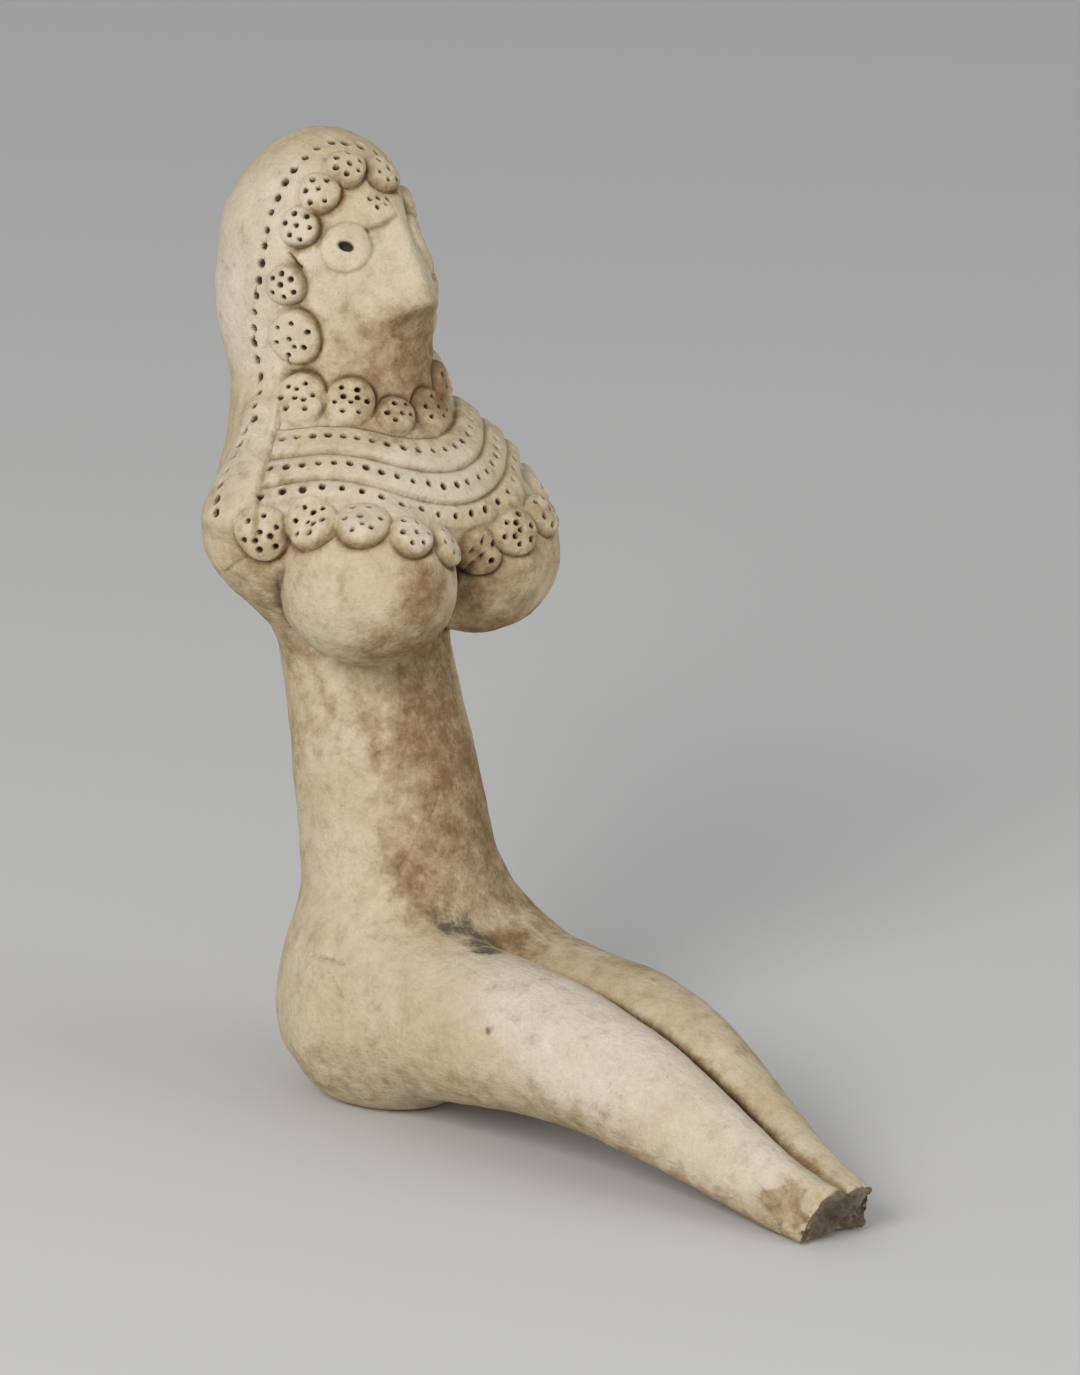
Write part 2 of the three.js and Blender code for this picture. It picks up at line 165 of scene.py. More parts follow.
def merged(a, b, width):
    """Lower of two distances, with a parabola rounding the corner over the given width."""
    h = np.clip(0.5 + 0.5 * (b - a) / width, 0, 1)
    return b + (a - b) * h - width * h * (1 - h)


def trimmed(a, b, width):
    """Higher of two distances, rounded in the same way."""
    return -merged(-a, -b, width)


def ellipsoid(p, middle, radii, lean=0.0, tip=0.0, turn=0.0):
    """Distance from an ellipsoid leant about X, tipped about Y and turned about Z by degrees:
    k (k - 1) / g, where k is the point's length in radii and g that length's slope."""
    a, b, c = np.radians((lean, tip, turn))
    about_x = np.array([[1, 0, 0], [0, np.cos(a), -np.sin(a)], [0, np.sin(a), np.cos(a)]])
    about_y = np.array([[np.cos(b), 0, np.sin(b)], [0, 1, 0], [-np.sin(b), 0, np.cos(b)]])
    about_z = np.array([[np.cos(c), -np.sin(c), 0], [np.sin(c), np.cos(c), 0], [0, 0, 1]])
    q = (p - np.array(middle)) @ (about_z @ about_y @ about_x) / np.array(radii)
    k = np.linalg.norm(q, axis=-1)
    return k * (k - 1) / np.maximum(np.linalg.norm(q / np.array(radii), axis=-1), 1e-9)


def rod(p, start, end, start_radius, end_radius):
    """Distance from a tapered rod with round ends."""
    a = np.array(start, float)
    along = np.array(end, float) - a
    t = np.clip((p - a) @ along / (along @ along), 0, 1)
    away = np.linalg.norm(p - a - t[..., None] * along, axis=-1)
    return away - (start_radius + (end_radius - start_radius) * t)


def oval(across, up, half_width, half_height):
    """Distance from an oval section: its length in radii less 1, in the smaller radius."""
    share = np.hypot(across / half_width, up / half_height)
    return (share - 1) * np.minimum(half_width, half_height)


def trunk(p):
    """Oval rings whose middle and radii are read from the table at each height, with rounded
    ends."""
    z = p[..., 2]
    x, y, wide, deep = (read(TRUNK, i, z) for i in (1, 2, 3, 4))
    side = oval(p[..., 0] - x, p[..., 1] - y, wide, deep)
    side = trimmed(side, TRUNK_ENDS[0] - z, TRUNK_END_ROUND)
    return trimmed(side, z - TRUNK_ENDS[1], TRUNK_END_ROUND)


def leg(p, hand):
    """Oval rings read from the table at each distance ahead, for the right leg (hand -1) or the
    left one (hand 1), with exp(-(distance / length)^2) for the sunken thigh."""
    ahead = -p[..., 1]
    rise, out, wide, high = (read(LEG, i, ahead) for i in (1, 2, 3, 4))
    slim = 1
    if hand > 0:
        slim = 1 - FAR_LEG_SLIMMING * np.clip(ahead - FAR_SLIM_START, 0, FAR_SLIM_LENGTH)
        sink = FAR_THIGH_SINK * np.exp(-((ahead - FAR_THIGH_MIDDLE) / FAR_THIGH_LENGTH) ** 2)
        rise, high = rise - sink / 2, high - sink / 2
    drift = FOOT_DRIFT * smooth(*DRIFT_SPAN, ahead)
    shift, widening = FOOT_SHIFTS[hand]
    across = p[..., 0] - hand * slim * out + shift * drift
    ring = oval(across, p[..., 2] - rise, slim * wide + widening * drift, slim * high)
    return trimmed(ring, LEG_START - ahead, LEG_START_ROUND)


# The nose is a beak pinched up from the face: two flanks meet at a ridge over an undercut

NOSE_X = 2.0
RIDGE_TOP = (11.2, 101.2)  # y and height
NOSE_TIP = (5.0, 92.0)
RIDGE_SLOPE = (RIDGE_TOP[0] - NOSE_TIP[0]) / (RIDGE_TOP[1] - NOSE_TIP[1])
RIDGE_BLUNTNESS = 0.5
NOSE_FLANK = 0.92
NOSE_UNDERCUT = 0.80
UNDERCUT_FLANK = 0.35
UNDERCUT_LENGTH = 1.33  # of its plane's slope
BROW_SLANT = 0.2
BROW_LENGTH = 1.02  # of its plane's slope
NOSE_HALF_WIDTH = 5.4
NOSE_BACK = 17  # y, within the head
FAR_CHEEK_SLOPE = 1.08
FAR_CHEEK_STEP = 0.6
FAR_CHEEK_TOP = 100.5  # height above which it runs out
FAR_CHEEK_FADE = 0.9


def ridge(z):
    """How far back the nose's ridge is at each height."""
    return NOSE_TIP[0] + RIDGE_SLOPE * (z - NOSE_TIP[1])


def nose(p):
    """Highest of four planes: y > ridge(z) + flank |x|, y > tip + undercut below the tip, a
    slanting top under the brow, and the half width."""
    across = np.sqrt((p[..., 0] - NOSE_X) ** 2 + RIDGE_BLUNTNESS ** 2)
    y, z = p[..., 1], p[..., 2]
    flank = (ridge(z) + NOSE_FLANK * across - y) / math.hypot(1, NOSE_FLANK, RIDGE_SLOPE)
    under = NOSE_TIP[0] + (NOSE_TIP[1] - z) * NOSE_UNDERCUT + UNDERCUT_FLANK * across - y
    top = (z - RIDGE_TOP[1] - BROW_SLANT * (y - RIDGE_TOP[0])) / BROW_LENGTH
    wedge = trimmed(trimmed(flank, under / UNDERCUT_LENGTH, 0.9), top, 0.7)
    return trimmed(trimmed(wedge, across - NOSE_HALF_WIDTH, 2), y - NOSE_BACK, 2)


def far_cheek(p):
    """The face falls away behind the ridge on its left side: y > ridge(z) + slope x, running
    out above the brow."""
    x, y, z = p[..., 0], p[..., 1], p[..., 2]
    edge = ridge(z) - FAR_CHEEK_FADE * np.clip(z - FAR_CHEEK_TOP, 0, None)
    past = edge + FAR_CHEEK_STEP + FAR_CHEEK_SLOPE * (x - NOSE_X) - y
    return past / math.hypot(1, FAR_CHEEK_SLOPE)


def torso(p):
    """Legs, seat and trunk, then the shoulders and arms, each merged over its width."""
    joining = FEET_JOINING * smooth(*FEET_SPAN, -p[..., 1])
    legs = merged(leg(p, -1), leg(p, 1), JOIN["legs"] + joining)
    hips = merged(*(ellipsoid(p, *hip) for hip in HIPS), JOIN["hips"])
    lower = merged(merged(trunk(p), hips, JOIN["waist"]), legs, JOIN["lap"])
    shoulders = merged(ellipsoid(p, *BACK), ellipsoid(p, *YOKE), JOIN["shoulders"])
    shoulders = merged(shoulders, rod(p, *NECK), JOIN["neck"])
    arms = np.minimum(*(rod(p, *arm) for arm in ARMS))
    return merged(lower, merged(shoulders, arms, JOIN["arms"]), JOIN["chest"])


def breasts(p):
    """Distances from the right and the left breast."""
    return ellipsoid(p, *RIGHT_BREAST), ellipsoid(p, *LEFT_BREAST)


def form(p):
    """The whole figure before its carving."""
    body = merged(torso(p), np.minimum(*breasts(p)), JOIN["breasts"])
    head = merged(ellipsoid(p, *HOOD), rod(p, *JAW), JOIN["jaw"])
    head = merged(trimmed(head, far_cheek(p), JOIN["cheek"]), nose(p), JOIN["nose"])
    seat = FEET_LIFT * np.minimum(2 * smooth(*FEET_SPAN, -p[..., 1]), 1)
    whole = trimmed(merged(body, head, JOIN["head"]), seat - p[..., 2], JOIN["seat"])
    return broken(whole, p)


def behind_break(p):
    """Distance back from a leaning plane through the broken ends, before it is skewed."""
    behind = (p[..., 1] + LEG_REACH) * math.cos(BREAK_LEAN)
    return behind + (p[..., 2] - BREAK_HEIGHT) * math.sin(BREAK_LEAN)


def broken(inside, p):
    """The feet are gone: a leaning plane with a long wave in it ends both legs."""
    x, z = p[..., 0], p[..., 2]
    wave = BREAK_WAVE * np.sin(1.1 * x + 0.6) * np.cos(0.9 * z)
    return trimmed(inside, wave - behind_break(p) + BREAK_SKEW * x, JOIN["break"])


def facing(p, step=0.12):
    """Unit slope of the form, from differences along each axis."""
    slope = np.empty_like(p)
    for axis in range(3):
        ahead = np.zeros(3)
        ahead[axis] = step
        slope[..., axis] = form(p + ahead) - form(p - ahead)
    return slope / np.maximum(np.linalg.norm(slope, axis=-1, keepdims=True), 1e-9)


def cast(origin, direction, reach=60.0, step=1.0):
    """Where rays from inside first leave the form: even steps out, then halving."""
    far = np.full(direction.shape[:-1], reach)
    found = np.zeros(far.shape, bool)
    for i in range(1, int(reach / step) + 1):
        outside = ~found & (form(origin + direction * (i * step)) > 0)
        far[outside] = i * step
        found |= outside
        if found.all():
            break
    near = far - step
    for _ in range(14):
        middle = (near + far) / 2
        inside = form(origin + direction * middle[..., None]) < 0
        near = np.where(inside, middle, near)
        far = np.where(inside, far, middle)
    return origin + direction * ((near + far) / 2)[..., None]


# Soft noise, so that nothing is drawn at random


def lattice(cell, seed):
    """A number from 0 to 1 for each whole-numbered corner, from a fixed integer hash."""
    n = cell.astype(np.int64) @ np.array([73856093, 19349663, 83492791]) + seed * 2654435761
    n = (n ^ (n >> 13)) * 1274126177 & 0x7FFFFFFF
    n = (n ^ (n >> 15)) * 2246822519 & 0x7FFFFFFF
    return n / 0x7FFFFFFF


def noise(p, grain, seed):
    """Value noise from -1 to 1: corner numbers blended by quintic weights, one bump a grain."""
    q = p / grain
    cell = np.floor(q)
    t = q - cell
    w = t * t * t * (t * (6 * t - 15) + 10)
    total = np.zeros(p.shape[:-1])
    for corner in np.ndindex(2, 2, 2):
        c = np.array(corner)
        weight = np.prod(np.where(c, w, 1 - w), axis=-1)
        total += weight * lattice(cell + c, seed)
    return 2 * total - 1


def rough(p, grain, seed, octaves=3):
    """Noise summed over octaves, each half the grain and half the height of the last."""
    return sum(noise(p, grain / 2 ** i, seed + i) / 2 ** i for i in range(octaves))


# Places on the head by heading and height angle, on the chest by heading and height. A
# heading is in degrees from straight ahead, positive towards the figure's left side.

HEAD_MIDDLE = np.array(HOOD[0])
CHEST_AXIS = np.array([2.0, 19.0])


def on_head(heading, elevation):
    """Points of the form along rays from the head's middle."""
    a, e = np.radians(np.broadcast_arrays(heading, elevation))
    level = np.cos(e)
    direction = np.stack([level * np.sin(a), -level * np.cos(a), np.sin(e)], -1)
    return cast(np.broadcast_to(HEAD_MIDDLE, direction.shape), direction)


def on_chest(heading, height):
    """Points of the form along level rays from the chest's upright axis."""
    heading, height = np.broadcast_arrays(heading, height)
    a = np.radians(heading)
    direction = np.stack([np.sin(a), -np.cos(a), 0 * a], -1)
    origin = np.stack([0 * a + CHEST_AXIS[0], 0 * a + CHEST_AXIS[1], height + 0.0], -1)
    return cast(origin, direction)


def chest_heading(p):
    """Headings of points from the chest's axis."""
    return np.degrees(np.arctan2(p[:, 0] - CHEST_AXIS[0], CHEST_AXIS[1] - p[:, 1]))


# Rosettes round the face: heading, height angle, radius
FACE_RING = (
    (-26, 62.3, 2.35), (-49.2, 51, 2.45), (-60.2, 34.4, 2.4), (-64.5, 2.9, 2.35),
    (-58.3, -23.5, 3.2), (-52.9, -41.1, 3.2), (-30.2, -38.2, 2.95), (-11.6, -38.6, 2.35),
    (6.5, -38.8, 2.75), (25, -37.2, 2.5), (44, -40, 2.7), (52, -24, 3.0),
    (50, -7, 2.4), (44, 9, 2.35), (42, 26, 2.35), (33, 42, 2.3), (8, 57, 2.3),
)

# Rosettes along the tops of the breasts: heading, height, radius
BREAST_ROW = (
    (-13.7, 66.0, 2.65), (-66.2, 66.9, 3.1), (-38.3, 69.2, 3.15), (-52.4, 68.4, 3.1),
    (-25.5, 67.9, 2.65), (2.7, 63.9, 2.75), (13.5, 65.9, 2.8), (26, 66.9, 2.6), (43, 67.9, 2.6),
    (57, 67.0, 2.6),
)

# Holes in a rosette: turn in degrees and distance from its middle as a share of its radius.
# Only the larger ones have the last three.
ROSETTE_HOLES = (
    (0, 0.06), (15, 0.58), (78, 0.62), (141, 0.55), (199, 0.64), (262, 0.56), (318, 0.60),
    (108, 0.30), (228, 0.34),
)

FACE_POINT = (2.0, 8.0, 93.0)  # the rosettes' deeper rims turn to it

# Heading and height angle of each eye
EYES = ((-32.5, 24.3), (21.0, 24.3))
EYE_RADIUS = 3.0
PUPIL = (0.95, 0.6)  # half width and half height
PUPIL_SLANT = 0.18
PUPIL_DEPTH = 1.2

# Edges of the necklace tiers: height = lowest + climb sin^2(1.9 heading)
TIER_EDGES = np.array([(76.2, 1.6), (73.0, 2.3), (69.7, 3.3), (66.6, 4.2)])
TIER_SPAN = 74.0  # degrees to either side
TIER_FLOOR = 0.26  # rise of the first tier's top edge
TIER_FLOOR_STEP = 0.05  # by which the next one is lower
TIER_CUT = (0.20, 0.42)  # width and depth
TIER_CUT_DROP = 0.10

# How far the locks stand out, the heights where they run out above and below, and the degrees
# behind their front edge where they rise and where they run out behind
LOCK_RISE = 0.95
LOCK_TOP = (80.5, 78.0)
LOCK_FOOT = (64.8, 67.4)
LOCK_EDGE = (-0.5, 0.7)
LOCK_BACK = (34, 12)

# Widths and depths of the cuts where forms meet
LOCK_CUT = (0.7, 0.32)
BREAST_FOLD = (0.7, 0.5)
BREAST_GAP = (0.8, 0.5)
LEGS_GAP = (0.8, 0.85)

HOLE_RADII = {"rosette": 0.33, "hood": 0.50, "tier": 0.43, "lock": 0.52, "brow": 0.32}
HOLE_WANDER = {"rosette": 0.15, "hood": 0.16, "tier": 0.16, "lock": 0.16, "brow": 0.16}
HOOD_HOLE_SPACING = 1.95
TIER_HOLE_SPAN = 69  # degrees to either side
TIER_HOLES = ((23, 0.46), (26, 0.46), (23, 0.42))  # how many, and their share of the way down
LOCK_HOLES = 7
LOCK_HOLE_HEIGHTS = (75.4, 67.9)
LOCK_HOLE_SETBACKS = (17, 12.5)  # degrees behind the front edge

# Share of the way, heading and height angle along the hood's row of holes
HOOD_ROW = np.array([
    (0.0, 0.04, 0.08, 0.12, 0.20, 0.30, 0.38, 0.43, 0.47,
     0.50, 0.53, 0.57, 0.64, 0.74, 0.84, 0.92, 0.96, 1.0),
    (-71, -75, -80, -85, -83, -82, -83, -79, -64, -24, 8, 28, 58, 67, 71, 76, 78, 71),
    (-46, -45.5, -42, -33, -11, 10, 40, 58, 73, 79, 73, 65, 50, 26, 0, -20, -34, -46),
])

# Five small holes left on the brow, and other marks that show: chains of points on the form in
# millimetres, each with its half width and depth
BROW_HOLES = (
    (-0.4, 13.5, 102.4), (0.8, 13.2, 102.4), (1.9, 13.0, 102.2), (0.1, 12.7, 101.5), (1.2, 12.6, 101.5),
)
MARKS = (
    (((-8.0, -3.1, 28.2), (-6.2, -3.5, 30.0), (-5.3, -3.6, 32.1), (-3.2, -3.7, 33.9),
      (-2.0, -3.5, 35.6)), 0.20, 0.12),
    (((-5.9, -2.0, 35.2), (-3.9, -3.5, 33.5), (-1.6, -4.8, 31.6)), 0.20, 0.08),
    (((-9.6, -1.0, 33.0), (-8.4, -2.0, 37.0), (-7.9, -1.5, 40.0), (-6.6, -1.0, 43.0)), 0.20, 0.07),
    (((-15.9, 2.4, 18.3), (-16.4, -0.4, 18.7), (-15.9, -2.9, 18.5)), 0.22, 0.30),
    (((-17.0, -2.0, 16.6), (-17.2, -3.2, 15.9), (-17.3, -4.1, 15.0)), 0.22, 0.28),
    (((-16.6, 1.6, 17.0), (-16.9, 0.9, 16.2)), 0.22, 0.28),
    (((-14.4, -25.0, 16.6), (-14.7, -24.5, 15.6)), 0.45, 0.30),
    (((-1.6, 12.3, 99.3), (0.3, 11.6, 99.9), (2.0, 11.2, 100.8)), 0.55, 0.45),
    (((-8.3, -14.5, 22.2), (-7.0, -16.2, 22.0)), 0.5, 0.3),
)

# The same for marks that are placed by heading and height angle on the head, or by heading and
# height on the chest: a crack and a slit beside the face, and a crease under the arm
CRACK = (((-64.5, -61.5, -59.5, -56.5), (20.5, 18.0, 15.5, 13.5)), 0.17, 0.6)
SLIT = (((-60.0, -60.4), (-31.0, -34.5)), 0.14, 0.5)
UNDERARM = (((-70.5, -75.0, -78.5), (63.8, 62.6, 61.4)), 0.22, 0.3)

# Middle, radii and softness of a lump on the breast and a dent under the brow, and the flake
# lost from the right shin
LUMP = ((-10.5, -6.8, 62.0), (3.4, 3, 3.4), 0.6)
DENT = ((-0.3, 10.9, 98.0), (1.7, 3, 2.4), 0.8)
FLAKE = ((-6.8, -63.6, 4.3), (2.6, 4.1, 2.6))


def edge_height(k, heading):
    """Height of a tier's edge, counted from the chin, at a heading."""
    lowest, climb = TIER_EDGES[k]
    return lowest + climb * np.sin(np.radians(1.9 * heading)) ** 2


def lock_front(height):
    """Heading of the front edge of a hair lock: it swings forward as it falls."""
    return np.interp(height, (66.5, 70, 74.5, 79), (67.5, 69.2, 72.0, 78.0))


class Rounds:
    """Rounds of clay or holes: their middles, outward directions, side directions and radii."""

    def __init__(self, middles, radii):
        self.middle = np.asarray(middles)
        self.radius = np.broadcast_to(np.asarray(radii, float), len(self.middle))
        self.out = facing(self.middle)
        self.side = np.cross((0.0, 0.0, 1.0), self.out)
        self.side /= np.maximum(np.linalg.norm(self.side, axis=-1, keepdims=True), 1e-6)
        self.up = np.cross(self.out, self.side)

    def nearby(self, p, i, reach):
        """Indices of the points within reach of a round, and their offsets across and up."""
        q = p - self.middle[i]
        close = np.flatnonzero(np.einsum("ij,ij->i", q, q) < reach * reach)
        q = q[close]
        return close, q @ self.side[i], q @ self.up[i]


def rosettes():
    """The pressed discs round the face and then along the breasts."""
    ring = np.array(FACE_RING)
    row = np.array(BREAST_ROW)
    middles = np.concatenate([on_head(ring[:, 0], ring[:, 1]), on_chest(row[:, 0], row[:, 1])])
    return Rounds(middles, np.concatenate([ring[:, 2], row[:, 2]]))


def evenly_along(line, spacing):
    """Points a spacing apart along a chain, by its travelled length."""
    travelled = np.concatenate([[0], np.cumsum(np.linalg.norm(np.diff(line, axis=0), axis=1))])
    at = np.linspace(0, travelled[-1], round(travelled[-1] / spacing) + 1)
    return np.stack([np.interp(at, travelled, line[:, i]) for i in range(3)], -1)


def rosette_holes(discs):
    """One pattern of holes in every disc, turned 47 degrees further each time. The small discs
    have 7 of them and the others 9, and every third disc one fewer."""
    middles = []
    for i, radius in enumerate(discs.radius):
        count = (7 if radius < 2.8 else 9) - (i % 3 == 1)
        for turn, share in ROSETTE_HOLES[:count]:
            a = math.radians(turn + 47 * i)
            offset = discs.side[i] * math.cos(a) + discs.up[i] * math.sin(a)
            middles.append(discs.middle[i] + offset * share * radius)
    return np.array(middles)


def hood_holes():
    """A row round the hood's front edge, from one side of the neck over to the other."""
    share, heading, elevation = HOOD_ROW
    walk = np.linspace(0, 1, 400)
    line = on_head(np.interp(walk, share, heading), np.interp(walk, share, elevation))
    return evenly_along(line, HOOD_HOLE_SPACING)


def tier_holes():
    """A row along each tier, at its share of the way from the upper edge to the lower one."""
    rows = []
    for k, (count, share) in enumerate(TIER_HOLES):
        heading = np.linspace(-TIER_HOLE_SPAN, TIER_HOLE_SPAN, count)
        height = edge_height(k, heading) * (1 - share) + edge_height(k + 1, heading) * share
        rows.append(on_chest(heading, height))
    return np.concatenate(rows)


def lock_holes():
    """A short row down each lock of hair, behind its front edge."""
    height = np.linspace(*LOCK_HOLE_HEIGHTS, LOCK_HOLES)
    heading = lock_front(height) + np.linspace(*LOCK_HOLE_SETBACKS, LOCK_HOLES)
    return np.concatenate([on_chest(hand * heading, height) for hand in (-1, 1)])


def punched_holes(discs):
    """All the holes, each moved a little from its place in its row, as a hand would."""
    rows = {
        "rosette": rosette_holes(discs),
        "hood": hood_holes(),
        "tier": tier_holes(),
        "lock": lock_holes(),
        "brow": on_form(np.array(BROW_HOLES)),
    }
    middles = np.concatenate(list(rows.values()))
    radii = np.concatenate([np.full(len(row), HOLE_RADII[kind]) for kind, row in rows.items()])
    wander = np.concatenate([np.full(len(row), HOLE_WANDER[kind]) for kind, row in rows.items()])
    jitter = np.stack([noise(middles * 7.3, 1.0, 40 + i) for i in range(3)], -1)
    return Rounds(middles + wander[:, None] * jitter, radii)


def groove(distance, width, depth):
    """A soft V cut: -depth exp(-(distance / width)^2)."""
    return -depth * np.exp(-(distance / width) ** 2)


def path_distance(p, path):
    """Least distance from each point to a chain of straight steps."""
    best = np.full(len(p), 1e9)
    for a, b in zip(path[:-1], path[1:]):
        along = b - a
        t = np.clip((p - a) @ along / (along @ along), 0, 1)
        best = np.minimum(best, np.linalg.norm(p - a - t[:, None] * along, axis=1))
    return best


class Carving:
    """Relief in millimetres along the form's outward direction, at points of the form."""

    def __init__(self, settings):
        self.rosette_rise = settings.rosette_rise / MM
        self.eye_rise = settings.eye_rise / MM
        self.tier_rise = settings.tier_rise / MM
        self.hole_depth = settings.hole_depth / MM
        self.discs = rosettes()
        self.eyes = Rounds(on_head(*np.array(EYES).T), EYE_RADIUS)
        self.holes = punched_holes(self.discs)
        self.marks = [(on_form(np.array(path)), width, deep) for path, width, deep in MARKS]
        for (path, width, deep), place in ((CRACK, on_head), (SLIT, on_head), (UNDERARM, on_chest)):
            self.marks.append((place(*np.array(path)), width, deep))
        self.face = np.array(FACE_POINT)

    def tiers(self, p):
        """Three coils lapped like shingles: v runs from 0 at a tier's top edge to 1 at its
        bottom, and the rise is floor + v^0.55 (1 - v^9)^0.5, with a cut below each bottom."""
        heading = chest_heading(p)
        z = p[:, 2]
        front = (p[:, 1] < CHEST_AXIS[1]) | (np.abs(heading) < 90)
        edge = lock_front(z)
        reach = smooth(edge + 0.6, edge - 0.4, np.abs(heading)) * front
        height = np.zeros(len(p))
        cut = np.zeros(len(p))
        for k in range(3):
            top, bottom = edge_height(k, heading), edge_height(k + 1, heading)
            v = np.clip((top - z) / (top - bottom), 0, 1)
            lap = v ** 0.55 * np.sqrt(1 - v ** 9)
            within = (z < top) & (z > bottom)
            height = np.where(within, TIER_FLOOR - TIER_FLOOR_STEP * k + self.tier_rise * lap, height)
            cut = np.minimum(cut, groove(z - top + TIER_CUT_DROP, *TIER_CUT))
        # the third tier runs out over the breasts
        fade = smooth(0.4, 1.6, z - edge_height(3, heading) + 0.8)
        height = np.where(z < edge_height(2, heading), height * fade, height)
        return height * reach, cut * reach

    def locks(self, p):
        """A slab on each shoulder: full rise behind its front edge, running out to the back,
        to the neck and below."""
        heading = np.abs(chest_heading(p))
        z = p[:, 2]
        behind = heading - lock_front(z)
        ends = smooth(*LOCK_TOP, z) * smooth(*LOCK_FOOT, z)
        rise = LOCK_RISE * smooth(*LOCK_EDGE, behind) * smooth(*LOCK_BACK, behind) * ends
        return rise, groove(behind + 0.4, *LOCK_CUT) * ends

    def rounds(self, p, base):
        """Discs pressed on one after another: rise (1 - s^3.2)^0.5 with a cut at the rim, which
        is deeper towards the face, or below on the breasts, and a painted shadow, with soil, spreads past
        it there."""
        height = base.copy()
        rim = np.zeros(len(p))
        rim_shadow_and_soil = np.zeros(len(p))
        for i, radius in enumerate(self.discs.radius):
            close, across, up = self.discs.nearby(p, i, radius * 1.7)
            wobble = 1 + 0.035 * np.sin(3 * np.arctan2(up, across) + i)
            s = np.hypot(across, up) / (radius * wobble)
            dome = self.rosette_rise * (1 - np.clip(s, 0, 1) ** 3.2) ** 0.5
            lift = 0.45 * base[close] + dome
            height[close] = np.where(s < 1, np.maximum(lift, height[close] * (s > 0.97)), height[close])
            aim = self.face - self.discs.middle[i] if i < len(FACE_RING) else -self.discs.up[i]
            lead = np.array([aim @ self.discs.side[i], aim @ self.discs.up[i]])
            lead /= np.linalg.norm(lead)
            towards = (across * lead[0] + up * lead[1]) / np.maximum(s * radius, 0.1)
            deep = 0.16 + 0.30 * smooth(-0.4, 0.7, towards)
            edge = groove((s - 1.04) * radius, 0.22, deep)
            rim[close] = np.minimum(np.where(s < 0.9, 0, rim[close]), edge)
            # painted shadow, with soil, past the rim on the side towards the face, or below on the
            # breasts
            spread = np.exp(-((s - 1.08) * radius / 0.75) ** 2) * smooth(-0.5, 0.7, towards)
            rim_shadow_and_soil[close] = np.maximum(rim_shadow_and_soil[close], spread)
        for i, radius in enumerate(self.eyes.radius):
            close, across, up = self.eyes.nearby(p, i, radius * 1.6)
            s = np.hypot(across, up) / (radius * (1 + 0.03 * np.sin(2 * np.arctan2(up, across))))
            dome = self.eye_rise * (1 - np.clip(s, 0, 1) ** 5) ** 0.5
            height[close] = np.where(s < 1, np.maximum(height[close], dome), height[close])
            rim[close] = np.minimum(rim[close], groove((s - 1.04) * radius, 0.28, 0.20))
        return height, rim, rim_shadow_and_soil

    def punched(self, p):
        """Round holes with soft lips, -depth (1 - smooth step from 0.5 to 1.1 radii), and how
        dark each point of them is: painted shade, with the dirt that lies in them."""
        pit = np.zeros(len(p))
        dark = np.zeros(len(p))
        for i, radius in enumerate(self.holes.radius):
            wide = radius * (1 + 0.14 * math.sin(5.1 * i))
            close, across, up = self.holes.nearby(p, i, 2.2 * wide)
            s = np.hypot(across, up * 1.05) / wide
            depth = self.hole_depth * (1 + 0.2 * math.sin(2.3 * i))
            well = -depth * (1 - smooth(0.5, 1.1, s)) + 0.05 * np.exp(-((s - 1.4) / 0.25) ** 2)
            pit[close] = np.where(well < 0, np.minimum(pit[close], well), pit[close] + well)
            dark[close] = np.maximum(dark[close], 1 - smooth(0.7, 1.15, s))
        for i in range(len(EYES)):
            close, across, up = self.eyes.nearby(p, i, 2.0)
            s = np.hypot(across / PUPIL[0], (up + PUPIL_SLANT * across) / PUPIL[1])
            pit[close] = np.minimum(pit[close], -PUPIL_DEPTH * (1 - smooth(0.5, 1.15, s)))
            dark[close] = np.maximum(dark[close], 1 - smooth(0.7, 1.2, s))
        return pit, dark

    def folds(self, p):
        """Cuts where two forms meet, from the gap between their distances: round the breasts,
        between them, and between the legs."""
        right, left = breasts(p)
        z = p[:, 2]
        around = np.minimum(right, left) - torso(p)
        cut = groove(around, *BREAST_FOLD) * smooth(66.0, 61.5, z) * (z > 45)
        between = groove(right - left, *BREAST_GAP) * smooth(1.2, 0.2, np.abs(right))
        cut = cut + between * smooth(68, 65, z) * (z > 45)
        legs = groove(leg(p, -1) - leg(p, 1), *LEGS_GAP) * smooth(-13, -17, p[:, 1])
        paleness_and_highlight = 1 - 0.85 * smooth(-50, -62, p[:, 1])
        return cut + legs * paleness_and_highlight * (z > 1)

    def __call__(self, p):
        """Height, and from 0 to 1 how dark a point's hollow is, as painted shade with dirt, and how much
        painted shadow, with soil, spreads past a rosette's rim.
        """
        tier, tier_cut = self.tiers(p)
        lock, lock_cut = self.locks(p)
        height, rim, rim_shadow_and_soil = self.rounds(p, np.maximum(tier, lock))
        pit, dark = self.punched(p)
        cuts = np.minimum(np.minimum(tier_cut, lock_cut), rim) + self.folds(p)
        for path, width, deep in self.marks:
            cuts = cuts + groove(path_distance(p, path), width, deep)
        # soft dimples all over, the lump and the dent, then the crags of the broken ends
        dimple = 0.14 * rough(p, 7.0, 11) + 0.06 * rough(p, 2.2, 23)
        dimple = dimple + blob(p, *LUMP) * (0.45 + 0.35 * rough(p, 1.6, 29))
        dimple = dimple - 0.75 * blob(p, *DENT)
        crag = smooth(2.4, 0.5, self.to_break(p))
        dimple = dimple + crag * (0.8 * rough(p, 2.8, 31) - 0.6 * np.abs(rough(p, 1.2, 37)) - 0.25)
        flake = self.flake(p)
        dimple = dimple + flake * (0.15 * rough(p, 1.0, 51) - 0.5)
        dimple = dimple * smooth(0.0, 1.2, p[:, 2])
        # painted shade, with dirt, in the cuts and rims: the deeper the darker
        dark = np.maximum(dark, np.clip(-cuts / 0.7, 0, 1))
        return height + cuts + pit + dimple, dark, rim_shadow_and_soil

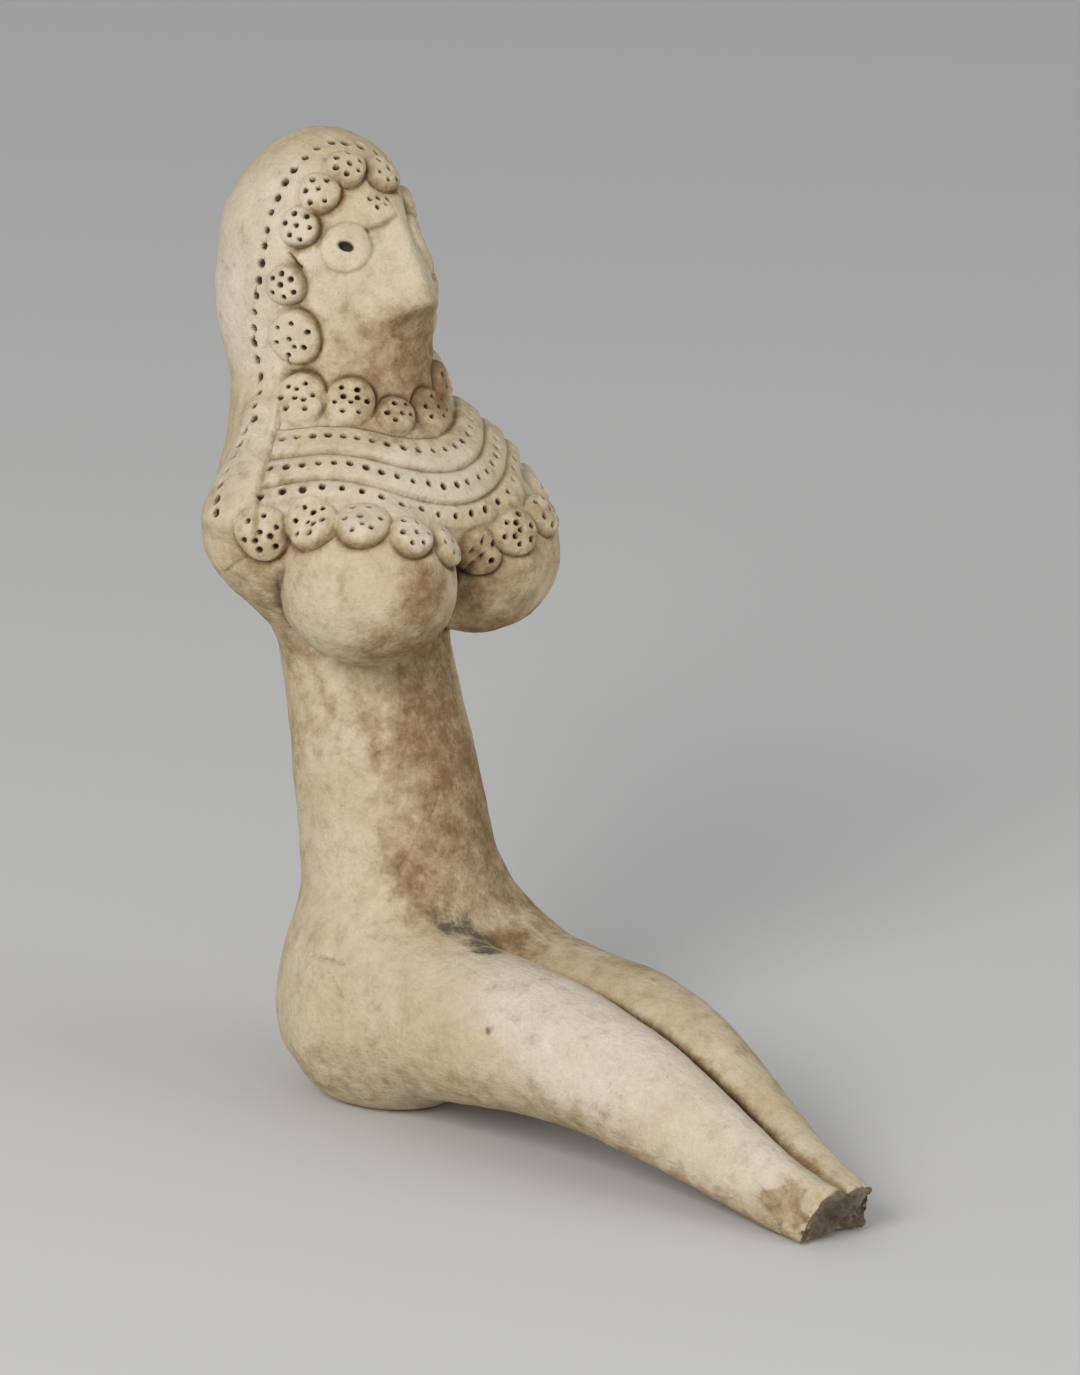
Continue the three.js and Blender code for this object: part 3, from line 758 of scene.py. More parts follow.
    def flake(self, p):
        """The flake lost from the right shin, as a share: an ellipsoid with a ragged edge."""
        ragged = np.stack([rough(p, 2.2, seed) for seed in (61, 64, 67)], -1)
        q = (p + 1.3 * ragged - FLAKE[0]) / FLAKE[1]
        return smooth(1.08, 0.92, np.linalg.norm(q, axis=1))

    def to_break(self, p):
        """Distance back from the broken ends."""
        return behind_break(p) - BREAK_SKEW * p[:, 0]

    def fineness(self, p):
        """Longest edge wanted at each point: short in holes and rims, long on plain clay."""
        wanted = np.full(len(p), EDGES["plain"])
        heading = chest_heading(p)
        z = p[:, 2]
        neckline = (z > 64) & (z < 80) & (np.abs(heading) < 108)
        wanted[neckline] = EDGES["neckline"]
        for k in range(3):
            gap = np.abs(z - edge_height(k, heading))
            near = neckline & (gap < 0.5) & (np.abs(heading) < TIER_SPAN + 1)
            wanted[near] = EDGES["cut"]
        wanted[neckline & (np.abs(np.abs(heading) - lock_front(z)) < 2)] = EDGES["lock"]
        wanted[(self.to_break(p) < 2.0) | (self.flake(p) > 0)] = EDGES["broken"]
        for i, radius in enumerate(self.discs.radius):
            close, across, up = self.discs.nearby(p, i, radius * 1.6)
            s = np.hypot(across, up)
            fine = np.where(np.abs(s - radius) < 0.4, EDGES["cut"], EDGES["disc"])
            wanted[close] = np.minimum(wanted[close], fine)
        for i, radius in enumerate(self.eyes.radius):
            close, across, up = self.eyes.nearby(p, i, radius * 1.6)
            s = np.hypot(across, up)
            fine = np.where(np.abs(s - radius) < 0.5, EDGES["eye rim"], EDGES["eye"])
            fine = np.minimum(wanted[close], fine)
            wanted[close] = np.where(s < 1.1, EDGES["pupil"], fine)
        for i, radius in enumerate(self.holes.radius):
            close, across, up = self.holes.nearby(p, i, max(1.5 * radius, 0.75))
            wanted[close] = np.minimum(wanted[close], EDGES["hole"])
        for path, width, _ in self.marks:
            near = path_distance(p, path) < width + 0.3
            wanted[near] = np.minimum(wanted[near], 0.9 * width)
        right, left = breasts(p)
        fold = np.minimum(np.abs(np.minimum(right, left) - torso(p)), np.abs(right - left)) < 1.0
        wanted[fold & (z > 48) & (z < 67) & (p[:, 1] < 8)] = EDGES["fold"]
        legs = (np.abs(leg(p, -1) - leg(p, 1)) < 1.2) & (p[:, 1] < -12) & (z > 2)
        wanted[legs] = np.minimum(wanted[legs], EDGES["legs"])
        return wanted


# The mesh: a grid of rays from the core line, split where the carving is fine

# Longest edges that are wanted in each kind of place
EDGES = {
    "plain": 1.0, "neckline": 0.5, "cut": 0.26, "lock": 0.28, "broken": 0.35, "disc": 0.45,
    "eye": 0.4, "eye rim": 0.25, "pupil": 0.15, "hole": 0.2, "fold": 0.4, "legs": 0.45,
}

RINGS = 150
SIDES = 96
CAPS = 14  # rings in each end's quarter turn
SPLITS = 6
ENOUGH_FACES = 180000
SPARE_LENGTH = 1.25  # of the wanted length, before an edge is halved


def coarse_grid():
    """Rings of rays fan out from the core line, and a quarter turn of rings closes each end."""
    step = np.hypot(np.diff(CORE[:, 1]), np.diff(CORE[:, 2])) + 0.25 * np.abs(np.diff(CORE[:, 3]))
    travelled = np.concatenate([[0], np.cumsum(step)])
    i = np.arange(-CAPS, RINGS + CAPS)
    along = np.clip(i / (RINGS - 1), 0, 1) * travelled[-1]
    past = np.maximum(np.maximum(-i, i - (RINGS - 1)), 0)
    tilt = np.sign(i) * past / CAPS * math.pi / 2
    x, y, z, angle = (read(CORE, c, along, travelled) for c in range(4))
    angle = np.radians(angle)
    origin = np.stack([x, y, z], -1)[:, None]
    up = np.stack([0 * angle, np.cos(angle), np.sin(angle)], -1)[:, None]
    axis = np.stack([0 * angle, np.sin(angle), -np.cos(angle)], -1)[:, None]
    turn = -2 * math.pi * np.arange(SIDES) / SIDES
    level = np.cos(turn)[None, :, None] * np.array([1.0, 0, 0]) + np.sin(turn)[None, :, None] * up
    direction = np.cos(tilt)[:, None, None] * level + np.sin(tilt)[:, None, None] * axis
    points = cast(np.broadcast_to(origin, direction.shape), direction)

    rows = len(i)
    ids = np.arange(rows * SIDES).reshape(rows, SIDES)
    ids[0] = ids[0, 0]
    ids[-1] = ids[-1, 0]
    a, d = ids[:-1], ids[1:]
    b, c = np.roll(a, -1, 1), np.roll(d, -1, 1)
    faces = np.concatenate([np.stack(t, -1).reshape(-1, 3) for t in ((a, b, c), (a, c, d))])
    whole = (faces[:, 0] != faces[:, 1]) & (faces[:, 1] != faces[:, 2]) & (faces[:, 2] != faces[:, 0])
    used, faces = np.unique(faces[whole], return_inverse=True)
    return points.reshape(-1, 3)[used], faces.reshape(-1, 3)


def split(points, faces, fineness):
    """Halve each edge that is longer than wanted. A face with one, two or three halved edges
    becomes two, three or four, so no gap opens."""
    corner = faces
    pairs = np.concatenate([corner[:, [0, 1]], corner[:, [1, 2]], corner[:, [2, 0]]])
    pairs.sort(axis=1)
    key = pairs[:, 0].astype(np.int64) * len(points) + pairs[:, 1]
    unique, back = np.unique(key, return_inverse=True)
    start, end = unique // len(points), unique % len(points)
    length = np.linalg.norm(points[start] - points[end], axis=1)
    middle = (points[start] + points[end]) / 2
    cut = length > fineness(middle) * SPARE_LENGTH
    new_id = np.full(len(unique), -1)
    new_id[cut] = len(points) + np.arange(cut.sum())
    mid = new_id[back].reshape(3, -1).T
    added = on_form(middle[cut])

    out = []
    halves = (mid >= 0).sum(1)
    out.append(corner[halves == 0])
    for turn in range(3):
        order = [turn, (turn + 1) % 3, (turn + 2) % 3]
        c, m = corner[:, order], mid[:, order]
        one = (halves == 1) & (m[:, 0] >= 0)
        out.append(np.stack([c[one, 0], m[one, 0], c[one, 2]], 1))
        out.append(np.stack([m[one, 0], c[one, 1], c[one, 2]], 1))
        two = (halves == 2) & (m[:, 0] >= 0) & (m[:, 1] >= 0)
        out.append(np.stack([m[two, 0], c[two, 1], m[two, 1]], 1))
        out.append(np.stack([c[two, 0], m[two, 0], m[two, 1]], 1))
        out.append(np.stack([c[two, 0], m[two, 1], c[two, 2]], 1))
    three = halves == 3
    c, m = corner[three], mid[three]
    out.append(np.stack([c[:, 0], m[:, 0], m[:, 2]], 1))
    out.append(np.stack([m[:, 0], c[:, 1], m[:, 1]], 1))
    out.append(np.stack([m[:, 2], m[:, 1], c[:, 2]], 1))
    out.append(m)
    return np.concatenate([points, added]), np.concatenate(out), cut.sum()


def on_form(p):
    """Points moved onto the form down its slope."""
    for _ in range(3):
        out = facing(p, 0.05)
        p = p - out * np.clip(form(p), -0.4, 0.4)[:, None] * 0.95
    return p


# Stains, painted shade and a painted highlight, as a share from 0 to 1 at each vertex. A patch
# has its share, its middle and radii in millimetres, its softness, and the kind of place that it keeps
# to.

SOIL_AND_SHADE_PATCHES = (
    (1.0, (0, 1.5, 48.5), (4.8, 6, 6.5), 0.6, "anywhere"),
    (0.9, (2.2, -2.5, 61), (4.5, 4.5, 6.5), 0.6, "anywhere"),
    (1.15, (4.0, 8.0, 84), (4.6, 6, 7), 0.5, "anywhere"),
    (0.9, (2.8, 6.6, 90.4), (1.5, 1.8, 1.1), 0.6, "anywhere"),
    (0.85, (1.5, 7.5, 88.5), (3.6, 4, 2.6), 0.6, "anywhere"),
    (0.55, (-3.5, 9.5, 84), (6, 6, 7), 0.5, "anywhere"),
    (0.40, (9, -4, 60), (11, 8, 10), 0.4, "anywhere"),
    (0.6, (-9.5, -7, 61.5), (4.0, 4, 4.4), 0.5, "anywhere"),
    (0.55, (-6, -2, 53), (9, 9, 4.5), 0.5, "anywhere"),
    # painted shade, with soil, kept to the hollows near the neck
    (0.50, (-3, 10, 69), (9, 8, 9), 0.5, "hollows"),
    (0.52, (0, 7, 78.5), (9, 7, 4.0), 0.5, "anywhere"),
    (0.5, (-13, -33, 8.4), (4, 15, 2.6), 0.6, "mottles"),
    (0.4, (-16.5, 0.5, 17.0), (2, 4.5, 2.6), 0.7, "mottles"),
    (0.55, (7, -38, 13), (5.5, 24, 6), 0.5, "left sides"),
    (0.45, (-14, 13, 50), (8, 8, 26), 0.6, "anywhere"),
)
LAP_SOIL = ((1.0, -12.4, 20.0), (4.6, 4.0, 3.4), 0.6)
SOOT_PATCHES = (
    (1.5, (-4.6, -10.8, 22.6), (2.6, 4.2, 2.8), 0.8, "anywhere"),
    (0.35, (-7.0, -7.0, 23.9), (4.4, 2.6, 1.8), 0.7, "anywhere"),
    (1.1, (-6.3, -15.2, 21.7), (1.6, 3.2, 1.2), 0.7, "anywhere"),
    (0.8, (-1.6, -10.8, 21.4), (3.2, 3.0, 2.0), 0.7, "mottles"),
)
SOOT_SPOT = (-14.6, -24.7, 16.0)
# Patches of paler clay, most on the figure's right side
PALE_PATCHES = (
    (1.0, (-9, -33, 16), (7, 26, 8), 0.45, "anywhere"),
    (0.8, (-15, 12, 74), (10, 9, 6), 0.5, "anywhere"),
    (0.7, (-9, 24, 95), (9, 12, 16), 0.5, "anywhere"),
    (0.45, (0, 10, 96), (3, 5, 8), 0.5, "anywhere"),
    (0.75, (-5, 4, 72), (12, 10, 5), 0.5, "anywhere"),
    (0.9, (-7, -52, 9), (6, 13, 6), 0.5, "anywhere"),
    (0.6, (6, 20, 30), (8, 10, 30), 0.5, "backs"),
)


def blob(p, middle, radii, soft=0.5):
    """A soft patch: 1 inside an ellipsoid, running out to 0 past its edge."""
    q = (p - np.array(middle)) / np.array(radii)
    return smooth(1 + soft, 1 - soft, np.linalg.norm(q, axis=-1))


def patched(p, patches, places):
    """The highest of several patches, each times the share of its kind of place."""
    share = np.zeros(len(p))
    for most, middle, radii, soft, place in patches:
        share = np.maximum(share, most * blob(p, middle, radii, soft) * places[place])
    return share


def stains_and_painted_light(p, out, height, dark, rim_shadow_and_soil):
    """Shares of brown soil, grey soot and pale clay, with painted shade in the hollows, beside the
    rosettes and between the legs, and a painted highlight on proud upward faces. The soil lies on the
    chin and the left breast, darker brown on the belly and under the seat, the soot in the lap."""
    patchy = 0.5 + 0.5 * rough(p, 9.0, 71)
    fine = 0.5 + 0.5 * rough(p, 2.4, 83)
    x, y, z = p.T
    places = {
        "anywhere": 1.0,
        "hollows": dark,
        "mottles": fine,
        "left sides": smooth(-0.1, 0.8, out[:, 0]),
        "backs": smooth(0, 0.8, out[:, 1]),
    }
    # darker brown on the faces turned to the front and the left, from the lap up to the breasts
    sideways = -0.62 * out[:, 1] + 0.78 * out[:, 0]
    belly = 0.72 * smooth(-0.46, 0.0, sideways) + 0.22 * smooth(0.15, 0.85, sideways)
    soil = belly * smooth(18, 25, z + 0.3 * x) * smooth(62, 54, z)
    # painted shadow, with soil, beside the rosettes' rims
    soil = np.maximum(soil, 0.55 * rim_shadow_and_soil)
    soil = soil * (1 - smooth(3, 9, x) * (0.15 + 0.55 * (0.5 + 0.5 * rough(p, 13.0, 97))))
    soil = np.maximum(soil, patched(p, SOIL_AND_SHADE_PATCHES, places))
    # darker on the faces that turn down low on the figure, and painted shade, with dirt, in the valley
    # between the legs
    soil = np.maximum(soil, 0.38 * smooth(0.35, -0.75, out[:, 2]) * smooth(26, 8, z))
    legs_gap = np.abs(leg(p, -1) - leg(p, 1))
    along_legs = smooth(-11, -16, y)
    soil = np.maximum(soil, 0.7 * (smooth(2.2, 0.2, legs_gap) * along_legs * (z > 5)))
    soil = soil * (0.45 + 0.8 * patchy) + 0.10 * (patchy - 0.3) + 0.14 * (fine - 0.5)
    lap = blob(p, *LAP_SOIL)
    soil = np.clip(np.maximum(soil, lap * (0.6 + 0.5 * fine)), 0, 0.82)
    # painted shade, with dirt, in the hollows, laid in the soil's colour
    soil = np.clip(soil + 0.45 * dark, 0, 1)

    grey_share = patched(p, SOOT_PATCHES, places)
    # painted shade, with dirt, in grey along the crease between the legs
    groin_shade_and_dirt = smooth(1.6, 0.2, legs_gap) * along_legs * smooth(-48, -30, y) * (z > 8)
    soot = np.maximum(grey_share * (0.35 + 0.9 * fine), 0.8 * groin_shade_and_dirt)
    soot = np.maximum(soot, 0.7 * smooth(0.9, 0.3, np.linalg.norm(p - np.array(SOOT_SPOT), axis=1)))

    rubbed = np.clip(patched(p, PALE_PATCHES, places) * (0.5 + 0.7 * patchy), 0, 1)
    # painted highlight: what stands proud and faces up is paler, the rosettes on the breasts most of all
    proud_highlight = smooth(0.45, 1.1, height) * smooth(-0.3, 0.5, out[:, 2])
    rubbed = np.maximum(rubbed, (0.3 + 0.35 * smooth(72, 68, z)) * proud_highlight * (0.5 + fine))
    return soil, np.clip(soot, 0, 1), rubbed


def figurine_mesh(settings):
    """The form's grid, split where it is fine, moved out by the carving and given its stains, painted
    shade and painted highlight.
    """
    points, faces = coarse_grid()
    carving = Carving(settings)
    for _ in range(SPLITS):
        points, faces, count = split(points, faces, carving.fineness)
        if count == 0 or len(faces) > ENOUGH_FACES:
            break
    out = facing(points, 0.25)
    height, dark, rim_shadow_and_soil = carving(points)
    placed = points + out * height[:, None]
    placed[:, 2] = np.maximum(placed[:, 2], 0)
    soil, soot, rubbed = stains_and_painted_light(points, out, height, dark, rim_shadow_and_soil)
    flake = carving.flake(points)
    soil = np.maximum(soil * (1 - flake), 0.56 * flake)
    broken_end = np.maximum(smooth(1.0, 0.2, carving.to_break(points)), 0.25 * flake)

    mesh = bpy.data.meshes.new("figurine_clay_body")
    mesh.vertices.add(len(placed))
    mesh.vertices.foreach_set("co", (placed * MM).astype(np.float32).ravel())
    mesh.loops.add(3 * len(faces))
    mesh.loops.foreach_set("vertex_index", faces.astype(np.int32).ravel())
    mesh.polygons.add(len(faces))
    mesh.polygons.foreach_set("loop_start", np.arange(0, 3 * len(faces), 3, dtype=np.int32))
    mesh.update(calc_edges=True)
    mesh.validate()
    mesh.shade_smooth()
    paint = {"soil": soil, "soot": soot, "rubbed": rubbed, "crevice": dark, "fracture": broken_end}
    for name, values in paint.items():
        layer = mesh.attributes.new(name, "FLOAT", "POINT")
        layer.data.foreach_set("value", values.astype(np.float32))
    return mesh


# Shader maths as expressions


class Value:
    """A shader socket that can be added to, multiplied and so on."""

    def __init__(self, tree, socket):
        self.tree = tree
        self.socket = socket

    def maths(self, operation, *others):
        """A Math node on this value and the others."""
        node = self.tree.nodes.new("ShaderNodeMath")
        node.operation = operation
        for slot, value in zip(node.inputs, (self, *others)):
            feed(self.tree, slot, value)
        return Value(self.tree, node.outputs[0])

    def __add__(self, other):
        return self.maths("ADD", other)

    __radd__ = __add__

    def __mul__(self, other):
        return self.maths("MULTIPLY", other)

    __rmul__ = __mul__

    def __sub__(self, other):
        return self.maths("SUBTRACT", other)

    def __rsub__(self, other):
        return (self * -1.0).maths("ADD", other)

    def between(self, low, high):
        """0 at low, 1 at high, smooth between."""
        node = self.tree.nodes.new("ShaderNodeMapRange")
        node.interpolation_type = "SMOOTHSTEP"
        feed(self.tree, node.inputs["Value"], self)
        node.inputs["From Min"].default_value = low
        node.inputs["From Max"].default_value = high
        return Value(self.tree, node.outputs[0])


def feed(tree, socket, value):
    """Link a value to a socket, or set the socket to a plain number or colour."""
    if isinstance(value, Value):
        tree.links.new(value.socket, socket)
    else:
        socket.default_value = value


class Clay:
    """A material under construction."""

    def __init__(self, name):
        self.material = bpy.data.materials.new(name)
        self.material.use_nodes = True
        self.tree = self.material.node_tree
        self.tree.nodes.clear()

    def node(self, kind, settings=None, output=0, **sockets):
        """Any node: its settings are set first, then its sockets get values or links."""
        node = self.tree.nodes.new(kind)
        for key, value in (settings or {}).items():
            setattr(node, key, value)
        for key, value in sockets.items():
            feed(self.tree, node.inputs[key.replace("_", " ")], value)
        return Value(self.tree, node.outputs[output])

    def attribute(self, name):
        """A share that the mesh holds at each vertex."""
        return self.node("ShaderNodeAttribute", {"attribute_name": name}, output="Fac")

    def grain(self, scale, detail=4.0, roughness=0.55, squeeze=(1, 1, 1)):
        """Noise on Object coordinates, about 0 to 1, with this many bumps a metre, or fewer
        along the axes that are squeezed."""
        place = self.node("ShaderNodeTexCoord", output="Object")
        if squeeze != (1, 1, 1):
            place = self.node("ShaderNodeVectorMath", {"operation": "MULTIPLY"}, Vector=place)
            place.socket.node.inputs[1].default_value = squeeze
        return self.node("ShaderNodeTexNoise", output=0, Vector=place, Scale=scale,
                         Detail=detail, Roughness=roughness)

    def mix(self, share, first, second):
        """The first colour, running over into the second as the share goes from 0 to 1."""
        node = self.tree.nodes.new("ShaderNodeMix")
        node.data_type = "RGBA"
        feed(self.tree, node.inputs[0], share)
        feed(self.tree, node.inputs[6], first)
        feed(self.tree, node.inputs[7], second)
        return Value(self.tree, node.outputs[2])


# Colours that are too dark or too small to be worth a setting
# grey of the soot smear, also laid as painted shade along the crease between the legs
SOOT_AND_SHADE = (0.07, 0.057, 0.046, 1)
BROKEN_DARK = (0.085, 0.060, 0.043, 1)
BROKEN_PALE = (0.215, 0.155, 0.105, 1)
# painted shade, with dirt, in the holes, rims and cuts
CREVICE_SHADE_AND_DIRT = (0.035, 0.02, 0.011, 1)
SPECKS = (0.17, 0.115, 0.065, 1)


def clay_material(settings):
    """Buff clay with yellower clouds and paler places, among them a painted highlight on proud upward
    faces, then soil, soot, the broken ends and the painted shade of the hollows laid over it, each by its
    share and broken up by noise; the soil and the soot carry painted shade too."""
    clay = Clay("fired_clay_buff")
    soil = clay.attribute("soil")
    soot = clay.attribute("soot")
    rubbed = clay.attribute("rubbed")
    crevice = clay.attribute("crevice")
    fracture = clay.attribute("fracture")

    cloud = clay.grain(90.0, 4.0)
    mottle = clay.grain(480.0, 6.0, 0.68)
    speck = clay.grain(1700.0, 4.0, 0.6)
    grit = clay.grain(4200.0, 2.0, 0.5)
    base = clay.mix(cloud.between(0.38, 0.66) * 0.55, (*settings.clay, 1), (*settings.ochre, 1))
    # paler places, with the painted highlight on proud upward faces
    paleness_and_highlight = (rubbed + (mottle - 0.5) * 0.35).between(0.1, 1.0)
    spotty = mottle.between(0.50, 0.70) * (0.42 - paleness_and_highlight * 0.3)
    base = clay.mix(spotty, base, (*settings.ochre, 1))
    base = clay.mix(paleness_and_highlight * 0.85, base, (*settings.pale_and_highlight_colour, 1))

    # soil, with painted shade laid in its colour in hollows, beside the rosettes and between the legs
    patch = soil + (mottle - 0.5) * 1.3 + (speck - 0.5) * 0.7
    tan = clay.mix(patch.between(0.05, 0.55) * 0.85, base, (*settings.tan, 1))
    colour = clay.mix(patch.between(0.35, 1.05) * 0.95, tan, (*settings.soil, 1))
    # the soot smear, and painted shade along the crease between the legs
    grey_share = (soot * (mottle * 2.2 + speck * 1.8 - 0.8)).between(0.2, 1.3)
    colour = clay.mix(grey_share * 0.86, colour, SOOT_AND_SHADE)
    chipped = (fracture + (mottle - 0.5) * 0.7).between(0.2, 0.8)
    broken_clay = clay.mix(mottle.between(0.42, 0.62), BROKEN_DARK, BROKEN_PALE)
    colour = clay.mix(chipped * 0.9, colour, broken_clay)
    # painted shade, with dirt, in the holes, rims and cuts
    colour = clay.mix(crevice.between(0.25, 1.0) * 0.94, colour, CREVICE_SHADE_AND_DIRT)
    shade = 1.0 + (mottle - 0.5) * -0.45 + (speck - 0.5) * 0.34 + (grit - 0.5) * 0.22
    colour = clay.node("ShaderNodeVectorMath", {"operation": "SCALE"}, Vector=colour, Scale=shade)
    colour = clay.mix(speck.between(0.66, 0.74) * 0.35, colour, SPECKS)

    uneven = clay.grain(330.0, 3.0, 0.5)
    wiped = clay.grain(700.0, 4.0, 0.6, (1, 0.22, 0.8))
    surface = (uneven - 0.5) * 0.9 + (speck - 0.5) * 0.4 + (grit - 0.5) * 0.2
    surface = surface + fracture * mottle * 1.5 + (wiped - 0.5) * 0.7
    bump = clay.node("ShaderNodeBump", Strength=0.7, Distance=0.0005, Height=surface)
    roughness = 0.80 + mottle * 0.14
    shader = clay.node("ShaderNodeBsdfPrincipled", Base_Color=colour, Roughness=roughness,
                       Normal=bump)
    shader.socket.node.inputs["Specular IOR Level"].default_value = 0.28
    end = clay.tree.nodes.new("ShaderNodeOutputMaterial")
    clay.tree.links.new(shader.socket, end.inputs["Surface"])
    return clay.material


def plain_material(name, colour, roughness):
    """One colour and one roughness."""
    material = bpy.data.materials.new(name)
    material.use_nodes = True
    shader = material.node_tree.nodes["Principled BSDF"]
    shader.inputs["Base Color"].default_value = (*colour, 1)
    shader.inputs["Roughness"].default_value = roughness
    return material


# The photograph's view: angles in degrees, lengths in millimetres, its picture in pixels

PICTURE = (1080, 1375)
SENSOR = 36.0
VIEW_AZIMUTH = -47.0
VIEW_ELEVATION = 16.0
VIEW_ROLL = 3.0
VIEW_DISTANCE = 1000.0
MM_PER_PIXEL = 0.115
AIM = np.array([-7.0, -2.0, 0.0])  # seen at this pixel
AIM_PIXEL = (385, 1100)


def camera_frame():
    """Columns right, up and back of the camera, its place, and its focal length in pixels."""
    a, e, r = np.radians((VIEW_AZIMUTH, VIEW_ELEVATION, VIEW_ROLL))
    back = np.array([np.sin(a) * np.cos(e), -np.cos(a) * np.cos(e), np.sin(e)])
    level = np.array([np.cos(a), np.sin(a), 0.0])
    rise = np.cross(back, level)
    right = level * np.cos(r) + rise * np.sin(r)
    up = rise * np.cos(r) - level * np.sin(r)
    across = (AIM_PIXEL[0] - PICTURE[0] / 2) * MM_PER_PIXEL
    above = (PICTURE[1] / 2 - AIM_PIXEL[1]) * MM_PER_PIXEL
    place = AIM + back * VIEW_DISTANCE - right * across - up * above
    return right, up, back, place, VIEW_DISTANCE / MM_PER_PIXEL


class FigurineSettings(bpy.types.PropertyGroup):
    """What a user would change about the figurine's relief and clay."""

    rosette_rise: FloatProperty(
        name="Rosette rise", description="How far the pressed discs stand out",
        default=1.2 * MM, min=0, precision=5, unit="LENGTH",
    )
    eye_rise: FloatProperty(
        name="Eye rise", description="How far the eyes stand out",
        default=0.7 * MM, min=0, precision=5, unit="LENGTH",
    )
    tier_rise: FloatProperty(
        name="Tier rise", description="How far a necklace tier swells towards its lower edge",
        default=0.5 * MM, min=0, precision=5, unit="LENGTH",
    )
    hole_depth: FloatProperty(
        name="Hole depth", description="Depth of the punched holes",
        default=1.0 * MM, min=0, precision=5, unit="LENGTH",
    )
    clay: FloatVectorProperty(
        name="Clay", description="Colour of the bare fired clay", subtype="COLOR",
        default=(0.56, 0.475, 0.335), min=0, max=1,
    )
    # paler clay, also used for the painted highlight on proud upward faces
    pale_and_highlight_colour: FloatVectorProperty(
        name="Bloom", description="Colour of the paler, rubbed clay", subtype="COLOR",
        default=(0.645, 0.565, 0.48), min=0, max=1,
    )
    ochre: FloatVectorProperty(
        name="Ochre", description="Colour of the yellower clay between", subtype="COLOR",
        default=(0.46, 0.355, 0.195), min=0, max=1,
    )
    tan: FloatVectorProperty(
        name="Tan", description="Colour of the lightly soiled clay", subtype="COLOR",
        default=(0.40, 0.30, 0.17), min=0, max=1,
    )
    # soil stains, and the painted shade laid in the same colour
    soil: FloatVectorProperty(
        name="Soil", description="Colour of the soil stains", subtype="COLOR",
        default=(0.205, 0.117, 0.050), min=0, max=1,
    )


class StageSettings(bpy.types.PropertyGroup):
    """The floor and the lights."""

    floor: FloatVectorProperty(
        name="Floor", description="Colour of the floor", subtype="COLOR",
        default=(0.62, 0.615, 0.60), min=0, max=1,
    )
    key_power: FloatProperty(
        name="Key light", description="Power of the large soft light", default=5.7, min=0, unit="POWER",
    )
    fill_power: FloatProperty(
        name="Fill light", description="Power of the weak light from the other side",
        default=3.1, min=0, unit="POWER",
    )
    low_power: FloatProperty(
        name="Low light", description="Power of the light that reaches under the legs",
        default=0.5, min=0, unit="POWER",
    )
    world: FloatProperty(name="World", description="Strength of the even light", default=0.46, min=0)


class FIGURINE_OT_body(bpy.types.Operator):
    """Model the figurine's carved clay surface over its solid"""

    bl_idname = "figurine.body"
    bl_label = "Clay figurine"

    def execute(self, context):
        settings = context.scene.figurine
        piece = bpy.data.objects.new("figurine_clay", figurine_mesh(settings))
        context.scene.collection.objects.link(piece)
        piece.data.materials.append(clay_material(settings))
        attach(piece, "root")
        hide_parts(NODE)
        return {"FINISHED"}


# The stage, in metres: the floor's half width, the point that the lights face, and each soft
# light's name, place, size and colour. Its power is a setting.
FLOOR_REACH = 3.0
LIT_POINT = (0.0, -0.01, 0.05)
LIGHTS = (
    ("key", (-0.78, -0.22, 0.50), 0.40, (1, 0.98, 0.95)),
    ("fill", (0.45, -0.8, 0.25), 0.8, (1, 1, 1)),
    ("low", (-0.62, -0.62, 0.06), 0.3, (1, 1, 1)),
)
SKY = (0.9, 0.92, 0.95, 1)


def area_light(name, place, size, power, colour):
    """A square soft light at a place, turned to face the lit point."""
    lamp = bpy.data.lights.new(name, "AREA")
    lamp.size = size
    lamp.energy = power
    lamp.color = colour
    light = bpy.data.objects.new(name, lamp)
    light.location = place
    look = Vector(LIT_POINT) - Vector(place)
    light.rotation_euler = look.to_track_quat("-Z", "Y").to_euler()
    bpy.context.scene.collection.objects.link(light)


